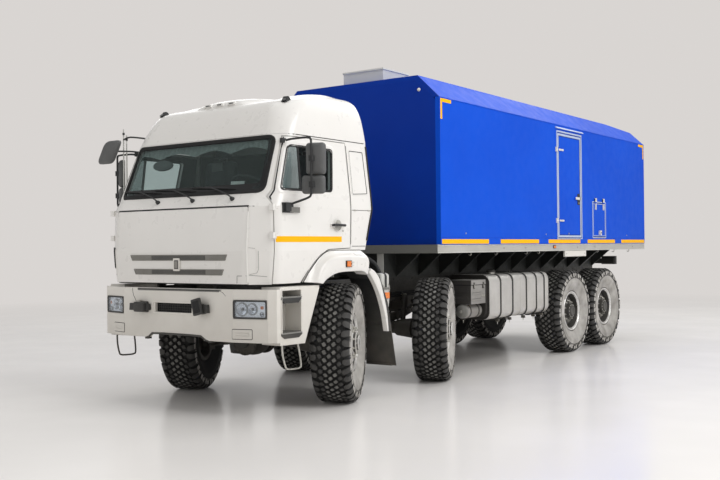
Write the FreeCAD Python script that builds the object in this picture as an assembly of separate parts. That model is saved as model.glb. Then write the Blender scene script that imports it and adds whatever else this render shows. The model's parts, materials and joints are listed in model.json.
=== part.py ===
import FreeCAD, Part
import math
import os

# Eight-wheel-drive truck with a tilting high-roof cab and a steam generator van body.
# Millimetres. +X is the vehicle's left, +Y points rearward and +Z up.
# Sizes below are measured from the first axle's centre line and from the ground, and
# every piece is moved by ORIGIN_Y at the end, which puts the origin under the middle.

V = FreeCAD.Vector
X_AXIS, Y_AXIS, Z_AXIS = V(1, 0, 0), V(0, 1, 0), V(0, 0, 1)

# ---- overall ------------------------------------------------------------------------
FRONT_Y = -1365.0            # front of the tow forks
REAR_Y = 8905.0              # rear edge of the platform
ORIGIN_Y = (FRONT_Y + REAR_Y) / 2

RUN = 0.05                   # radial clearance of a pin or spindle in its bore
SEAT = 0.3                   # gap between a soft or curved piece and its seat
GAP = 8.0                    # gap round a door or lid

# ---- wheels and steering ------------------------------------------------------------
TYRE_R = 625.0
TYRE_HALF_W = 210.0
BEAD_R = 267.0               # 21 inch rim seat
BEAD_HALF_W = 140.0
FLANGE_R = 300.0
FLANGE_T = 14.0
RIM_WALL = 9.0
TRACK_HALF = 1040.0
KINGPIN_X = 889.0
LOCK = 30.0                  # largest wheel angle each way, degrees
SPINDLE_R = 45.0
HUB_R = 112.0
DISC_STEERED, DISC_FIXED = 145.0, 80.0       # disc face along the wheel's axis
HUB_END_STEERED, HUB_END_FIXED = 192.0, 150.0
CAP_R, CAP_H = 80.0, 25.0
DRUM_R = 205.0
DRUM_IN, DRUM_OUT = -85.0, 20.0      # brake drum along the wheel's axis
SPINDLE_END = 60.0

# axle table: number, y, steered angle at rest (degrees, 0 for a fixed axle)
AXLES = [(1, 0.0, 27.0), (2, 1940.0, 24.6), (3, 5760.0, 0.0), (4, 7080.0, 0.0)]
SIDES = [("left", 1), ("right", -1)]

AXLE_TUBE_R = 75.0
AXLE_TUBE_END = 800.0
DIFF_X = -120.0
DIFF_R = 190.0
YOKE_Z0, YOKE_Z1 = 132.0, 168.0      # kingpin lug, above and below the axle's centre
KINGPIN_R = 22.0
LUG_R = 46.0

# ---- chassis ------------------------------------------------------------------------
RAIL_X0, RAIL_X1 = 345.0, 435.0
RAIL_Z0, RAIL_Z1 = 950.0, 1250.0
RAIL_Y0, RAIL_Y1 = -1100.0, REAR_Y - 465.0
RAIL_T = 10.0
BEAM_X = 900.0               # front beam that carries the bumper and the tow forks
BEAM_Y0, BEAM_Y1 = -1200.0, -1070.0
BEAM_Z0, BEAM_Z1 = 960.0, 1085.0
CROSS_Z0, CROSS_Z1 = 1090.0, 1210.0
CROSS_W = 100.0
CROSS_Y = [-1045.0, 1420.0, 2780.0, 3700.0, 4600.0, 5150.0, 6420.0, 7700.0, RAIL_Y1 - 55.0]

SPRING_X = (RAIL_X0 + RAIL_X1) / 2
SPRING_W = 80.0
SPRING_SEAT_Z = 702.0
FRONT_SPRING_HALF = 700.0
REAR_SPRING_HALF = 740.0

ENGINE = (-320.0, 320.0, -700.0, 430.0, 830.0, 1575.0)
GEARBOX = (-210.0, 210.0, 430.0, 1230.0, 830.0, 1080.0)
TRANSFER = (-200.0, 200.0, 2560.0, 3060.0, 780.0, CROSS_Z0)
SHAFT_R = 45.0
SHAFT_Z = 950.0

TANK = (560.0, 1200.0, 3090.0, 4900.0, 660.0, 1250.0)
TANK_CORNER_R = 110.0
TANK_BRACKET_Y = [3450.0, 4520.0]
BATTERY = (820.0, 1150.0, 2690.0, 3075.0, 885.0, 1185.0)
AIR_TANK = (1010.0, 2700.0, 3070.0, 790.0, 90.0)      # x, y0, y1, z, radius
AIR_CLEANER = (760.0, 1130.0, 712.0, 884.0, 1030.0, 1342.0)

# ---- platform and van body ----------------------------------------------------------
BODY_X = 1250.0              # half width of the van body
PLATFORM_X = BODY_X - 15.0
PLATFORM_Y0 = 1740.0
DECK_Z0, DECK_TOP = 1548.0, 1652.0
DECK_T = 40.0
RIM_W = 60.0
SUBFRAME_Z1 = 1400.0
BEARER_COUNT = 13
BEARER_T = 40.0
BEARER_Y0 = 2063.0
BEARER_PITCH = (RAIL_Y1 - 30 - BEARER_Y0) / (BEARER_COUNT - 1)
GUSSET_X = 790.0             # outer end of a gusset, under the deck

BODY_Y0, BODY_Y1 = PLATFORM_Y0 + 52.0, REAR_Y - 28.0
EAVE_Z = 3422.0
ROOF_Z = 3711.0
ROOF_FLAT_X = BODY_X - 306.0
WALL_T = 60.0
ROOF_DROP_Y = BODY_Y1 - 1027.0      # the roof falls from here to the rear
ROOF_DROP = 62.0
ROOF_UNIT = (-310.0, 310.0, 1980.0, 2560.0, 3900.0)

SIDE_DOOR = (5160.0, 6020.0, 1742.0, 3300.0)          # y0, y1, z0, z1
HATCH = (6500.0, 7010.0, 1765.0, 2300.0)
REAR_DOOR = (-450.0, 450.0, 1742.0, 3300.0)           # x0, x1, z0, z1
HATCH_T = 40.0
HANDLE_OUT = 28.0
HINGE_R = 11.0
HINGE_PIN_R = 5.0
HINGE_L = 60.0
HINGE_OUT = 14.0             # hinge line outside the skin

# ---- cab ----------------------------------------------------------------------------
CAB_WALL = 50.0
SEAM_Z = 2755.0              # where the high roof joins the cab
CAB_FLOOR_Z0, CAB_FLOOR_Z1 = 1600.0, 1650.0
SKIRT_Y = -830.0             # the cab's sides are open below the floor behind this line
# cab sections: z, half width, half width of the flat front, front y, side y, rear y
CAB_SECTIONS = [
    (1280.0, 1150.0, 900.0, -1275.0, -1090.0, 345.0),
    (1600.0, 1175.0, 920.0, -1282.0, -1100.0, 368.0),
    (2030.0, 1180.0, 930.0, -1245.0, -1090.0, 500.0),
    (2150.0, 1172.0, 940.0, -1150.0, -1040.0, 495.0),
    (SEAM_Z, 1100.0, 930.0, -903.0, -800.0, 495.0),
]
ROOF_SECTIONS = [
    (SEAM_Z, 1100.0, 930.0, -903.0, -800.0, 495.0),
    (3010.0, 1058.0, 880.0, -765.0, -640.0, 475.0),
    (3130.0, 1015.0, 800.0, -640.0, -500.0, 458.0),
    (3195.0, 965.0, 690.0, -330.0, -210.0, 445.0),
    (3240.0, 880.0, 560.0, -60.0, 40.0, 425.0),
    (3265.0, 760.0, 440.0, 110.0, 180.0, 400.0),
]
CORNER_FRONT, CORNER_REAR = 150.0, 45.0   # corner radii of the cab in plan
PIVOT_Y, PIVOT_Z = -1200.0, 1350.0   # cab tilt axis
PIVOT_X = 460.0
PIVOT_R = 15.0
PANEL_X = 930.0
PANEL_Z0, PANEL_Z1 = 1285.0, 2018.0
PANEL_T = 40.0
PANEL_PIVOT_Y, PANEL_PIVOT_Z = -1225.0, 2030.0
PANEL_SEAM = 24.0
PANEL_HINGE_X = [-600.0, 600.0]
GLASS_IN, GLASS_T = 12.0, 6.0
# outlines in side view (y, z)
DOOR_OUTLINE = [(-1105, 1285), (-1105, 2120), (-1060, 2185), (-848, 2725), (80, 2725),
                (65, 1625), (-310, 1612), (-450, 1550), (-600, 1425), (-730, 1285)]
WINDOW_OUTLINE = [(-1000, 2195), (-832, 2635), (-155, 2635), (-225, 2205)]
# windshield outline in front view (x, z), right half mirrored
SHIELD_OUTLINE = [(1010, 2178), (975, 2728)]
DOOR_PIVOT_Y = -1109.0
DOOR_PIVOT_X = 1166.0
DOOR_HINGE_Z = [1750.0, 2020.0]

SEAT_X = 560.0
WHEEL_R = 215.0              # steering wheel
MIRROR_X = 1510.0

# ---- bumper, steps and mudguards ----------------------------------------------------
BUMPER_Z0, BUMPER_Z1 = 727.0, 1235.0
BUMPER_T = 36.0
# plan outline of the bumper's outer face, left half (x, y)
BUMPER_PLAN = [(780, -1303), (1150, -1215), (1221, -1165)]
SLOT = (-300.0, 400.0, 985.0, 1085.0)                 # x0, x1, z0, z1
LAMP = (785.0, 1140.0, 955.0, 1135.0)
STEP_X0, STEP_X1 = 985.0, 1215.0
STEP_WALL = 25.0
FLARE_X = 1250.0
FLARE_IN = 850.0
FLARE_TOP_IN = 1100.0
FLARE_T = 22.0
FLAP_Y = 706.0               # top of the mud flap; it leans rearward from there
FORK_X = [-510.0, 350.0]
FORK_BORE_R = 16.0


# ---- small helpers ------------------------------------------------------------------
def box(x0, x1, y0, y1, z0, z1):
    return Part.makeBox(x1 - x0, y1 - y0, z1 - z0, V(x0, y0, z0))


def cylinder(base, axis, radius, length):
    return Part.makeCylinder(radius, length, base, axis)


def along_x(x, y, z, radius, length):
    """A cylinder along X whose middle is at x."""
    return cylinder(V(x - length / 2, y, z), X_AXIS, radius, length)


def polygon(points):
    return Part.Face(Part.makePolygon(points + [points[0]]))


def prism_x(outline, x0, x1):
    """An outline of (y, z) points, carried from x0 to x1."""
    return polygon([V(x0, y, z) for y, z in outline]).extrude(V(x1 - x0, 0, 0))


def prism_y(outline, y0, y1):
    """An outline of (x, z) points, carried from y0 to y1."""
    return polygon([V(x, y0, z) for x, z in outline]).extrude(V(0, y1 - y0, 0))


def prism_z(outline, z0, z1):
    """An outline of (x, y) points, carried from z0 to z1."""
    return polygon([V(x, y, z0) for x, y in outline]).extrude(V(0, 0, z1 - z0))


def rounded_wire(corners):
    """A closed wire through (point, radius) corners, with an arc at each corner."""
    edges = []
    starts, ends = [], []
    count = len(corners)
    for i, (p, r) in enumerate(corners):
        a = (corners[i - 1][0] - p).normalize()
        b = (corners[(i + 1) % count][0] - p).normalize()
        half = a.getAngle(b) / 2
        reach = r / math.tan(half)
        middle = (a + b).normalize()
        centre = p + middle * (r / math.sin(half))
        starts.append(p + a * reach)
        ends.append(p + b * reach)
        edges.append(Part.Arc(starts[-1], centre - middle * r, ends[-1]).toShape())
    wire = []
    for i in range(count):
        wire.append(edges[i])
        wire.append(Part.LineSegment(ends[i], starts[(i + 1) % count]).toShape())
    return Part.Wire(wire)


def rounded_prism_x(outline, radius, x0, x1):
    wire = rounded_wire([(V(x0, y, z), radius) for y, z in outline])
    return Part.Face(wire).extrude(V(x1 - x0, 0, 0))


def offset_outline(outline, distance):
    """The same closed outline of 2-D points, moved outward by distance (inward if < 0)."""
    area = 0.0
    count = len(outline)
    for i, (a, b) in enumerate(outline):
        c, d = outline[(i + 1) % count]
        area += a * d - c * b
    sign = 1.0 if area > 0 else -1.0
    lines = []
    for i, (a, b) in enumerate(outline):
        c, d = outline[(i + 1) % count]
        length = math.hypot(c - a, d - b)
        nx, ny = sign * (d - b) / length, -sign * (c - a) / length
        lines.append((nx, ny, nx * a + ny * b + distance))
    moved = []
    for i in range(count):
        (a1, b1, c1), (a2, b2, c2) = lines[i - 1], lines[i]
        det = a1 * b2 - a2 * b1
        moved.append(((c1 * b2 - c2 * b1) / det, (a1 * c2 - a2 * c1) / det))
    return moved


def strip(path, thickness, x0, x1):
    """A sheet that follows an open (y, z) path; thickness lies to the path's right side."""
    moved = []
    for i, (a, b) in enumerate(path):
        before = path[max(i - 1, 0)]
        after = path[min(i + 1, len(path) - 1)]
        n1 = unit_normal(before, (a, b)) if i else unit_normal((a, b), after)
        n2 = unit_normal((a, b), after) if i < len(path) - 1 else n1
        scale = thickness / (1 + n1[0] * n2[0] + n1[1] * n2[1])
        moved.append((a + (n1[0] + n2[0]) * scale, b + (n1[1] + n2[1]) * scale))
    return prism_x(path + moved[::-1], x0, x1)


def unit_normal(start, end):
    """Unit vector to the right of the way from start to end."""
    a, b = end[0] - start[0], end[1] - start[1]
    length = math.hypot(a, b)
    return b / length, -a / length


def mirror(shape):
    return shape.mirror(V(0, 0, 0), X_AXIS)


def both(shape):
    return [shape, mirror(shape)]


def fuse(shapes):
    if len(shapes) == 1:
        return shapes[0]
    return shapes[0].multiFuse(shapes[1:]).removeSplitter()


def ring(profile, axis_point, axis):
    """Turns a closed profile, already placed in space, about an axis."""
    return polygon(profile).revolve(axis_point, axis, 360)


def save(name, shapes):
    """Writes one node: one solid, or several that don't touch."""
    shapes = shapes if isinstance(shapes, list) else [shapes]
    solids = [solid for shape in shapes for solid in shape.Solids]
    node = solids[0] if len(solids) == 1 else Part.makeCompound(solids)
    node.translate(V(0, -ORIGIN_Y, 0))
    if not node.isValid():
        print("not valid:", name)
    node.exportStep("parts/" + name + ".step")


def hinge(point, axis, out_fixed, out_moving, pin_r=HINGE_PIN_R, barrel_r=HINGE_R,
          length=HINGE_L):
    """Returns a hinge's fixed and moving halves.

    The fixed half has two barrels and the pin, the moving half the barrel between them.
    out_fixed and out_moving are boxes that reach from the barrels to each leaf.
    """
    third = length / 3
    slack = 0.5
    start = point - axis * (length / 2)
    low = cylinder(start, axis, barrel_r, third - slack)
    high = cylinder(start + axis * (2 * third + slack), axis, barrel_r, third - slack)
    pin = cylinder(start, axis, pin_r, length)
    middle = cylinder(start + axis * third, axis, barrel_r, third)
    slot = cylinder(start + axis * (third - slack), axis, barrel_r + 1.5, third + 2 * slack)
    bore = cylinder(start, axis, pin_r + RUN, length)
    fixed = fuse([low, high] + [out.cut(slot) for out in out_fixed] + [pin])
    moving = fuse([middle] + out_moving).cut(bore)
    return fixed, moving


# ---- wheels -------------------------------------------------------------------------
def place_wheel(shape, y, angle, side):
    """Puts a left wheel, made at the origin with its outside towards +X, in its place."""
    if side < 0:
        shape = mirror(shape)
    offset = TRACK_HALF - KINGPIN_X
    shape.translate(V(side * offset, 0, 0))
    shape.rotate(V(0, 0, 0), Z_AXIS, angle)
    shape.translate(V(side * KINGPIN_X, y, TYRE_R))
    return shape


def tyre():
    # (u along the axle, radius)
    half = [(BEAD_HALF_W, BEAD_R + SEAT), (BEAD_HALF_W, FLANGE_R + 4), (178, 360),
            (TYRE_HALF_W, 440), (206, 530), (190, 590), (165, TYRE_R)]
    outline = [(-u, r) for u, r in reversed(half)] + half
    return ring([V(u, 0, r) for u, r in outline], V(0, 0, 0), X_AXIS)


def rim(disc_u, hub_end):
    """Rim, disc, hub and brake drum in one, with the disc at disc_u and the hub to hub_end."""
    flange = BEAD_HALF_W - SEAT
    inner = BEAD_R - RIM_WALL
    barrel = ring([V(-flange - FLANGE_T, 0, inner), V(-flange - FLANGE_T, 0, FLANGE_R),
                   V(-flange - SEAT * 2, 0, FLANGE_R), V(-flange - SEAT * 2, 0, BEAD_R),
                   V(flange + SEAT * 2, 0, BEAD_R), V(flange + SEAT * 2, 0, FLANGE_R),
                   V(flange + FLANGE_T, 0, FLANGE_R), V(flange + FLANGE_T, 0, inner)],
                  V(0, 0, 0), X_AXIS)
    disc = ring([V(disc_u - 12, 0, 60), V(disc_u - 12, 0, 190), V(disc_u - 45, 0, inner + 2),
                 V(disc_u - 32, 0, inner + 2), V(disc_u, 0, 195), V(disc_u, 0, 60)],
                V(0, 0, 0), X_AXIS)
    hub = cylinder(V(DRUM_IN + 5, 0, 0), X_AXIS, HUB_R, hub_end - DRUM_IN - 5)
    cap = cylinder(V(hub_end, 0, 0), X_AXIS, CAP_R, CAP_H)
    drum = cylinder(V(DRUM_IN, 0, 0), X_AXIS, DRUM_R, DRUM_OUT - DRUM_IN)
    bore = cylinder(V(DRUM_IN - 10, 0, 0), X_AXIS, SPINDLE_R + RUN, SPINDLE_END - DRUM_IN + 11)
    return fuse([barrel, disc, hub, cap, drum]).cut(bore)


def knuckle():
    """Steering knuckle: kingpin post, brake plate and spindle. Kingpin line at u0."""
    u0 = KINGPIN_X - TRACK_HALF
    post = cylinder(V(u0, 0, -YOKE_Z0 + 0.5), Z_AXIS, LUG_R, 2 * YOKE_Z0 - 1)
    pin = cylinder(V(u0, 0, -YOKE_Z1), Z_AXIS, KINGPIN_R, 2 * YOKE_Z1)
    arm = cylinder(V(u0, 0, 0), X_AXIS, 62, -u0 + DRUM_IN - 4)
    plate = cylinder(V(DRUM_IN - 9, 0, 0), X_AXIS, 180, 5)
    spindle = cylinder(V(u0, 0, 0), X_AXIS, SPINDLE_R, SPINDLE_END - u0)
    return fuse([post, pin, arm, plate, spindle])


def wheels():
    for number, y, angle in AXLES:
        disc_u = DISC_STEERED if angle else DISC_FIXED
        hub_end = HUB_END_STEERED if angle else HUB_END_FIXED
        for side_name, side in SIDES:
            name = "%d_%s" % (number, side_name)
            save("tyre_" + name, place_wheel(tyre(), y, angle, side))
            save("rim_" + name, place_wheel(rim(disc_u, hub_end), y, angle, side))
            if angle:
                save("knuckle_" + name, place_wheel(knuckle(), y, angle, side))


# ---- axles and springs --------------------------------------------------------------
def axle(y, steered):
    z = TYRE_R
    tube_end = AXLE_TUBE_END if steered else TRACK_HALF + DRUM_IN - 12
    shapes = [along_x(0, y, z, AXLE_TUBE_R, 2 * tube_end)]
    ball = Part.makeSphere(DIFF_R, V(DIFF_X, y, z), Y_AXIS)
    ball.rotate(V(DIFF_X, y, z), Y_AXIS, 45)
    shapes.append(ball)
    shapes.append(cylinder(V(DIFF_X, y - 230, z), Y_AXIS, 110, 460))
    for side in (1, -1):
        seat = box(SPRING_X - 55, SPRING_X + 55, y - 80, y + 80, z, SPRING_SEAT_Z)
        shapes.append(seat if side > 0 else mirror(seat))
        if steered:
            web = box(tube_end - 20, tube_end + 5, y - 46, y + 46, z - YOKE_Z1, z + YOKE_Z1)
            for low in (z + YOKE_Z0, z - YOKE_Z1):
                lug = box(tube_end, KINGPIN_X, y - LUG_R, y + LUG_R, low, low + YOKE_Z1 - YOKE_Z0)
                eye = cylinder(V(KINGPIN_X, y, low), Z_AXIS, LUG_R, YOKE_Z1 - YOKE_Z0)
                web = fuse([web, lug, eye])
            bore = cylinder(V(KINGPIN_X, y, z - 300), Z_AXIS, KINGPIN_R + RUN, 600)
            yoke = web.cut(bore)
        else:
            spindle = cylinder(V(tube_end - 5, y, z), X_AXIS, SPINDLE_R,
                               TRACK_HALF + SPINDLE_END - tube_end + 5)
            plate = cylinder(V(tube_end - 8, y, z), X_AXIS, 180, 8)
            yoke = fuse([spindle, plate])
        shapes.append(yoke if side > 0 else mirror(yoke))
    return fuse(shapes)


def arc_strip(low, high):
    """A strip in side view between two arcs, each of three (y, z) points, as wide as a spring."""
    x = SPRING_X - SPRING_W / 2
    a = [V(x, y, z) for y, z in low]
    b = [V(x, y, z) for y, z in high]
    wire = Part.Wire([Part.Arc(*a).toShape(), Part.LineSegment(a[2], b[2]).toShape(),
                      Part.Arc(*b).toShape(), Part.LineSegment(b[0], a[0]).toShape()])
    return Part.Face(wire).extrude(V(SPRING_W, 0, 0))


def springs():
    x0, x1 = SPRING_X - SPRING_W / 2, SPRING_X + SPRING_W / 2
    packs = []
    for number, y, angle in AXLES[:2]:
        half = FRONT_SPRING_HALF
        pack = arc_strip([(y - half, 890), (y, SPRING_SEAT_Z), (y + half, 890)],
                         [(y - half, 918), (y, SPRING_SEAT_Z + 95), (y + half, 918)])
        ends = [box(x0, x1, y + s * half - 45, y + s * half + 45, 880, RAIL_Z0) for s in (-1, 1)]
        packs.append(fuse([pack] + ends))
    middle = (AXLES[2][1] + AXLES[3][1]) / 2
    half = REAR_SPRING_HALF
    pack = arc_strip([(middle - half, 702), (middle, 742), (middle + half, 702)],
                     [(middle - half, 728), (middle, 885), (middle + half, 728)])
    saddle = box(x0, x1, middle - 110, middle + 110, 800, RAIL_Z0)
    packs.append(fuse([pack, saddle]))
    return [shape for pack in packs for shape in both(pack)]


# ---- chassis ------------------------------------------------------------------------
def chassis_frame():
    outline = [(RAIL_X1, RAIL_Z0), (RAIL_X1, RAIL_Z1), (RAIL_X0, RAIL_Z1),
               (RAIL_X0, RAIL_Z1 - RAIL_T), (RAIL_X1 - RAIL_T, RAIL_Z1 - RAIL_T),
               (RAIL_X1 - RAIL_T, RAIL_Z0 + RAIL_T), (RAIL_X0, RAIL_Z0 + RAIL_T),
               (RAIL_X0, RAIL_Z0)]
    shapes = both(prism_y(outline, RAIL_Y0, RAIL_Y1))
    reach = RAIL_X1 - RAIL_T
    for y in CROSS_Y:
        shapes.append(box(-reach, reach, y - CROSS_W / 2, y + CROSS_W / 2, CROSS_Z0, CROSS_Z1))
    # front bumper beam and the cab's tilt brackets
    shapes.append(box(-BEAM_X, BEAM_X, BEAM_Y0, BEAM_Y1, BEAM_Z0, BEAM_Z1))
    for x in (PIVOT_X - 45, -PIVOT_X + 45):
        plate = prism_x([(PIVOT_Y - 22, PIVOT_Z + 22), (PIVOT_Y - 22, PIVOT_Z - 22),
                         (PIVOT_Y + 10, PIVOT_Z - 24), (PIVOT_Y + 40, PIVOT_Z - 60),
                         (PIVOT_Y + 40, BEAM_Z0 + 40), (BEAM_Y1 + 5, BEAM_Z0 + 40),
                         (BEAM_Y1 + 5, PIVOT_Z - 20), (PIVOT_Y + 30, PIVOT_Z + 22)],
                        x - 12, x + 12)
        shapes.append(plate)
    frame = fuse(shapes)
    for x in (PIVOT_X, -PIVOT_X):
        inner = x - 57 if x > 0 else x - 28
        pin = cylinder(V(inner, PIVOT_Y, PIVOT_Z), X_AXIS, PIVOT_R, 85)
        frame = frame.fuse(pin)
    return frame.removeSplitter()


def driveline():
    main = [box(*GEARBOX), box(*TRANSFER)]
    main.append(cylinder(V(0, GEARBOX[3] - 5, SHAFT_Z), Y_AXIS, SHAFT_R,
                         TRANSFER[2] - GEARBOX[3] + 10))
    for start, number, sign in ((TRANSFER[2] + 5, 2, 1), (TRANSFER[3] - 5, 3, -1)):
        end_y = AXLES[number - 1][1] + sign * 230
        a, b = V(DIFF_X, start, 860), V(DIFF_X, end_y, TYRE_R)
        main.append(cylinder(a, b - a, SHAFT_R, (b - a).Length))
    links = []
    for first in (0, 2):
        start, end = AXLES[first][1] + 230, AXLES[first + 1][1] - 230
        links.append(cylinder(V(DIFF_X, start, TYRE_R), Y_AXIS, SHAFT_R, end - start))
    face = box(-900, 900, AXLES[1][1] - 500, AXLES[1][1] + 230, 0, 900)
    rear_face = box(-900, 900, AXLES[2][1] - 230, AXLES[2][1] + 500, 0, 900)
    return [fuse(main).cut(face).cut(rear_face)] + links


def engine():
    x0, x1, y0, y1, z0, z1 = ENGINE
    shapes = [box(*ENGINE)]
    for y in (y0 + 200, y1 - 250):
        shapes += both(box(x1 - 5, RAIL_X1 - RAIL_T, y, y + 90, CROSS_Z0, CROSS_Z0 + 90))
    return fuse(shapes)


def fuel_tank():
    x0, x1, y0, y1, z0, z1 = TANK
    outline = [(x0, z0), (x1, z0), (x1, z1), (x0, z1)]
    wire = rounded_wire([(V(x, y0, z), TANK_CORNER_R) for x, z in outline])
    tank = Part.Face(wire).extrude(V(0, y1 - y0, 0))
    for y in TANK_BRACKET_Y:
        bracket = box(RAIL_X1, x0 + 5, y - 40, y + 40, RAIL_Z0 + 20, RAIL_Z1 - 20)
        tank = tank.fuse(bracket)
    return tank.removeSplitter()


def battery_carrier():
    x0, x1, y0, y1, z0, z1 = BATTERY
    x, ty0, ty1, tz, r = AIR_TANK
    arm = box(RAIL_X1, x0 + 5, y0 + 60, y0 + 140, z0 + 90, z0 + 190)
    saddle = box(x - 40, x + 40, y0 + 40, y0 + 100, tz, z0 + 5)
    return fuse([box(*BATTERY), arm, saddle, cylinder(V(x, ty0, tz), Y_AXIS, r, ty1 - ty0)])


def air_cleaner():
    x0, x1, y0, y1, z0, z1 = AIR_CLEANER
    arm = box(RAIL_X1, x0 + 5, y0 + 60, y0 + 150, z0 + 20, z0 + 120)
    return fuse([box(*AIR_CLEANER), arm])


# ---- platform and van body ----------------------------------------------------------
def platform():
    x, y0, y1 = PLATFORM_X, PLATFORM_Y0, REAR_Y
    frame = box(-x, x, y0, y1, DECK_Z0, DECK_TOP)
    frame = frame.cut(box(-x + RIM_W, x - RIM_W, y0 + RIM_W, y1 - RIM_W, 0, DECK_TOP - DECK_T))
    shapes = [frame]
    shapes += both(box(RAIL_X0, RAIL_X1, PLATFORM_Y0 + 20, RAIL_Y1, RAIL_Z1, DECK_Z0))
    side = x - RIM_W
    for i in range(BEARER_COUNT):
        y = BEARER_Y0 + i * BEARER_PITCH
        half = [(RAIL_X1 - 5, SUBFRAME_Z1), (RAIL_X1 - 5, RAIL_Z1), (GUSSET_X, DECK_Z0 + 5),
                (side + 5, DECK_Z0 + 5), (side + 5, DECK_TOP - DECK_T + 5)]
        outline = [(-x, z) for x, z in reversed(half)] + half
        shapes.append(prism_y(outline, y - BEARER_T / 2, y + BEARER_T / 2))
    # marker board under the left and right rim
    shapes += both(box(x - 30, x - 5, 5435, 6250, 1455, DECK_Z0 + 5))
    return fuse(shapes)


def wall_opening(outline, thickness, x_out):
    """The hole for a flush door of (y0, y1, z0, z1) in a side wall."""
    y0, y1, z0, z1 = outline
    return box(x_out - thickness - 5, x_out + 5, y0 - GAP, y1 + GAP + 2, z0 - GAP - 4, z1 + GAP)


def door_strap_hinge(y_line, z, into):
    """Side-door hinge at height z: the fixed strap runs forward, the moving one rearward."""
    x = BODY_X + HINGE_OUT
    point = V(x, y_line, z)
    strap_in = BODY_X - 3
    fixed = [box(strap_in, x + 4, y_line - 60, y_line, z - HINGE_L / 2, z + HINGE_L / 2)]
    moving = [box(strap_in, x + 4, y_line, y_line + into, z - HINGE_L / 6, z + HINGE_L / 6)]
    return hinge(point, Z_AXIS, fixed, moving)


def side_walls_and_doors():
    wall = box(BODY_X - WALL_T, BODY_X, BODY_Y0, BODY_Y1, DECK_TOP, EAVE_Z)
    y0, y1, z0, z1 = SIDE_DOOR
    wall = wall.cut(wall_opening(SIDE_DOOR, WALL_T, BODY_X))
    door = box(BODY_X - WALL_T, BODY_X, y0, y1, z0, z1)
    for z in (z0 + 255, z1 - 250):
        fixed, moving = door_strap_hinge(y0 - GAP / 2, z, 185)
        wall = wall.fuse(fixed)
        door = door.fuse(moving)
    handle = box(BODY_X - 2, BODY_X + HANDLE_OUT, y1 - 250, y1 - 70, 2330, 2362)
    door = door.fuse(handle).removeSplitter()
    right_wall, right_door = mirror(wall), mirror(door)
    hy0, hy1, hz0, hz1 = HATCH
    wall = wall.cut(wall_opening(HATCH, WALL_T, BODY_X))
    lid = box(BODY_X - HATCH_T, BODY_X, hy0, hy1, hz0, hz1)
    x, line = BODY_X + HINGE_OUT, hz1 + GAP / 2
    for y in (hy0 + 90, hy1 - 90):
        width = HINGE_L / 2
        fixed, moving = hinge(
            V(x, y, line), Y_AXIS,
            [box(BODY_X - 3, x + 4, y - width, y + width, line, line + 70)],
            [box(BODY_X - 3, x + 4, y - width / 3, y + width / 3, line - 110, line)])
        wall = wall.fuse(fixed)
        lid = lid.fuse(moving)
    latch = box(BODY_X - 2, BODY_X + 30, (hy0 + hy1) / 2 - 25, (hy0 + hy1) / 2 + 25,
                hz0 + 25, hz0 + 95)
    lid = lid.fuse(latch).removeSplitter()
    save("box_side_walls", [wall.removeSplitter(), right_wall.removeSplitter()])
    save("box_door_left", door)
    save("box_door_right", right_door)
    save("box_hatch", lid)


def roof_outline(inset):
    """Cross-section (x, z) of the van body's top, from eave to eave."""
    slope = math.atan2(ROOF_Z - EAVE_Z, BODY_X - ROOF_FLAT_X)
    x_out = BODY_X - inset
    flat = ROOF_FLAT_X - inset * math.tan(slope / 2)
    top = ROOF_Z - inset
    eave = top - (x_out - flat) * math.tan(slope)
    return x_out, flat, top, eave


def end_wall_outline():
    x_out, flat, top, eave = roof_outline(WALL_T)
    return [(-x_out, DECK_TOP), (-x_out, eave), (-flat, top), (flat, top), (x_out, eave),
            (x_out, DECK_TOP)]


def end_walls_and_door():
    front = prism_y(end_wall_outline(), BODY_Y0, BODY_Y0 + WALL_T)
    rear = prism_y(end_wall_outline(), BODY_Y1 - WALL_T, BODY_Y1)
    rear = rear.cut(roof_drop_cutter(WALL_T))
    x0, x1, z0, z1 = REAR_DOOR
    rear = rear.cut(box(x0 - GAP - 2, x1 + GAP, BODY_Y1 - WALL_T - 5, BODY_Y1 + 5,
                        z0 - GAP - 4, z1 + GAP))
    door = box(x0, x1, BODY_Y1 - WALL_T, BODY_Y1, z0, z1)
    y, line = BODY_Y1 + HINGE_OUT, x1 + GAP / 2
    for z in (z0 + 255, z1 - 250):
        fixed, moving = hinge(
            V(line, y, z), Z_AXIS,
            [box(line, line + 60, BODY_Y1 - 3, y + 4, z - HINGE_L / 2, z + HINGE_L / 2)],
            [box(line - 185, line, BODY_Y1 - 3, y + 4, z - HINGE_L / 6, z + HINGE_L / 6)])
        rear = rear.fuse(fixed)
        door = door.fuse(moving)
    door = door.fuse(box(x0 + 70, x0 + 250, BODY_Y1 - 2, BODY_Y1 + HANDLE_OUT, 2330, 2362))
    save("box_end_walls", [front, rear.removeSplitter()])
    save("box_rear_door", door.removeSplitter())


def roof_drop_cutter(inset):
    """What lies above the sloping rear end of the roof."""
    top = ROOF_Z - inset
    return prism_x([(ROOF_DROP_Y, top), (BODY_Y1 + 50, top - ROOF_DROP), (BODY_Y1 + 50, top + 500),
                    (ROOF_DROP_Y, top + 500)], -BODY_X - 50, BODY_X + 50)


def box_roof():
    x_out, flat, top, eave = roof_outline(0.0)
    outer = prism_y([(-x_out, eave), (-flat, top), (flat, top), (x_out, eave)], BODY_Y0, BODY_Y1)
    outer = outer.cut(roof_drop_cutter(0.0))
    x_in, flat_in, top_in, eave_in = roof_outline(WALL_T)
    inner = prism_y([(-x_in, eave - 10), (-x_in, eave_in), (-flat_in, top_in), (flat_in, top_in),
                     (x_in, eave_in), (x_in, eave - 10)], BODY_Y0 - 10, BODY_Y1 + 10)
    return outer.cut(inner.cut(roof_drop_cutter(WALL_T)))


def roof_unit():
    x0, x1, y0, y1, z1 = ROOF_UNIT
    return box(x0, x1, y0, y1, ROOF_Z, z1)


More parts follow.
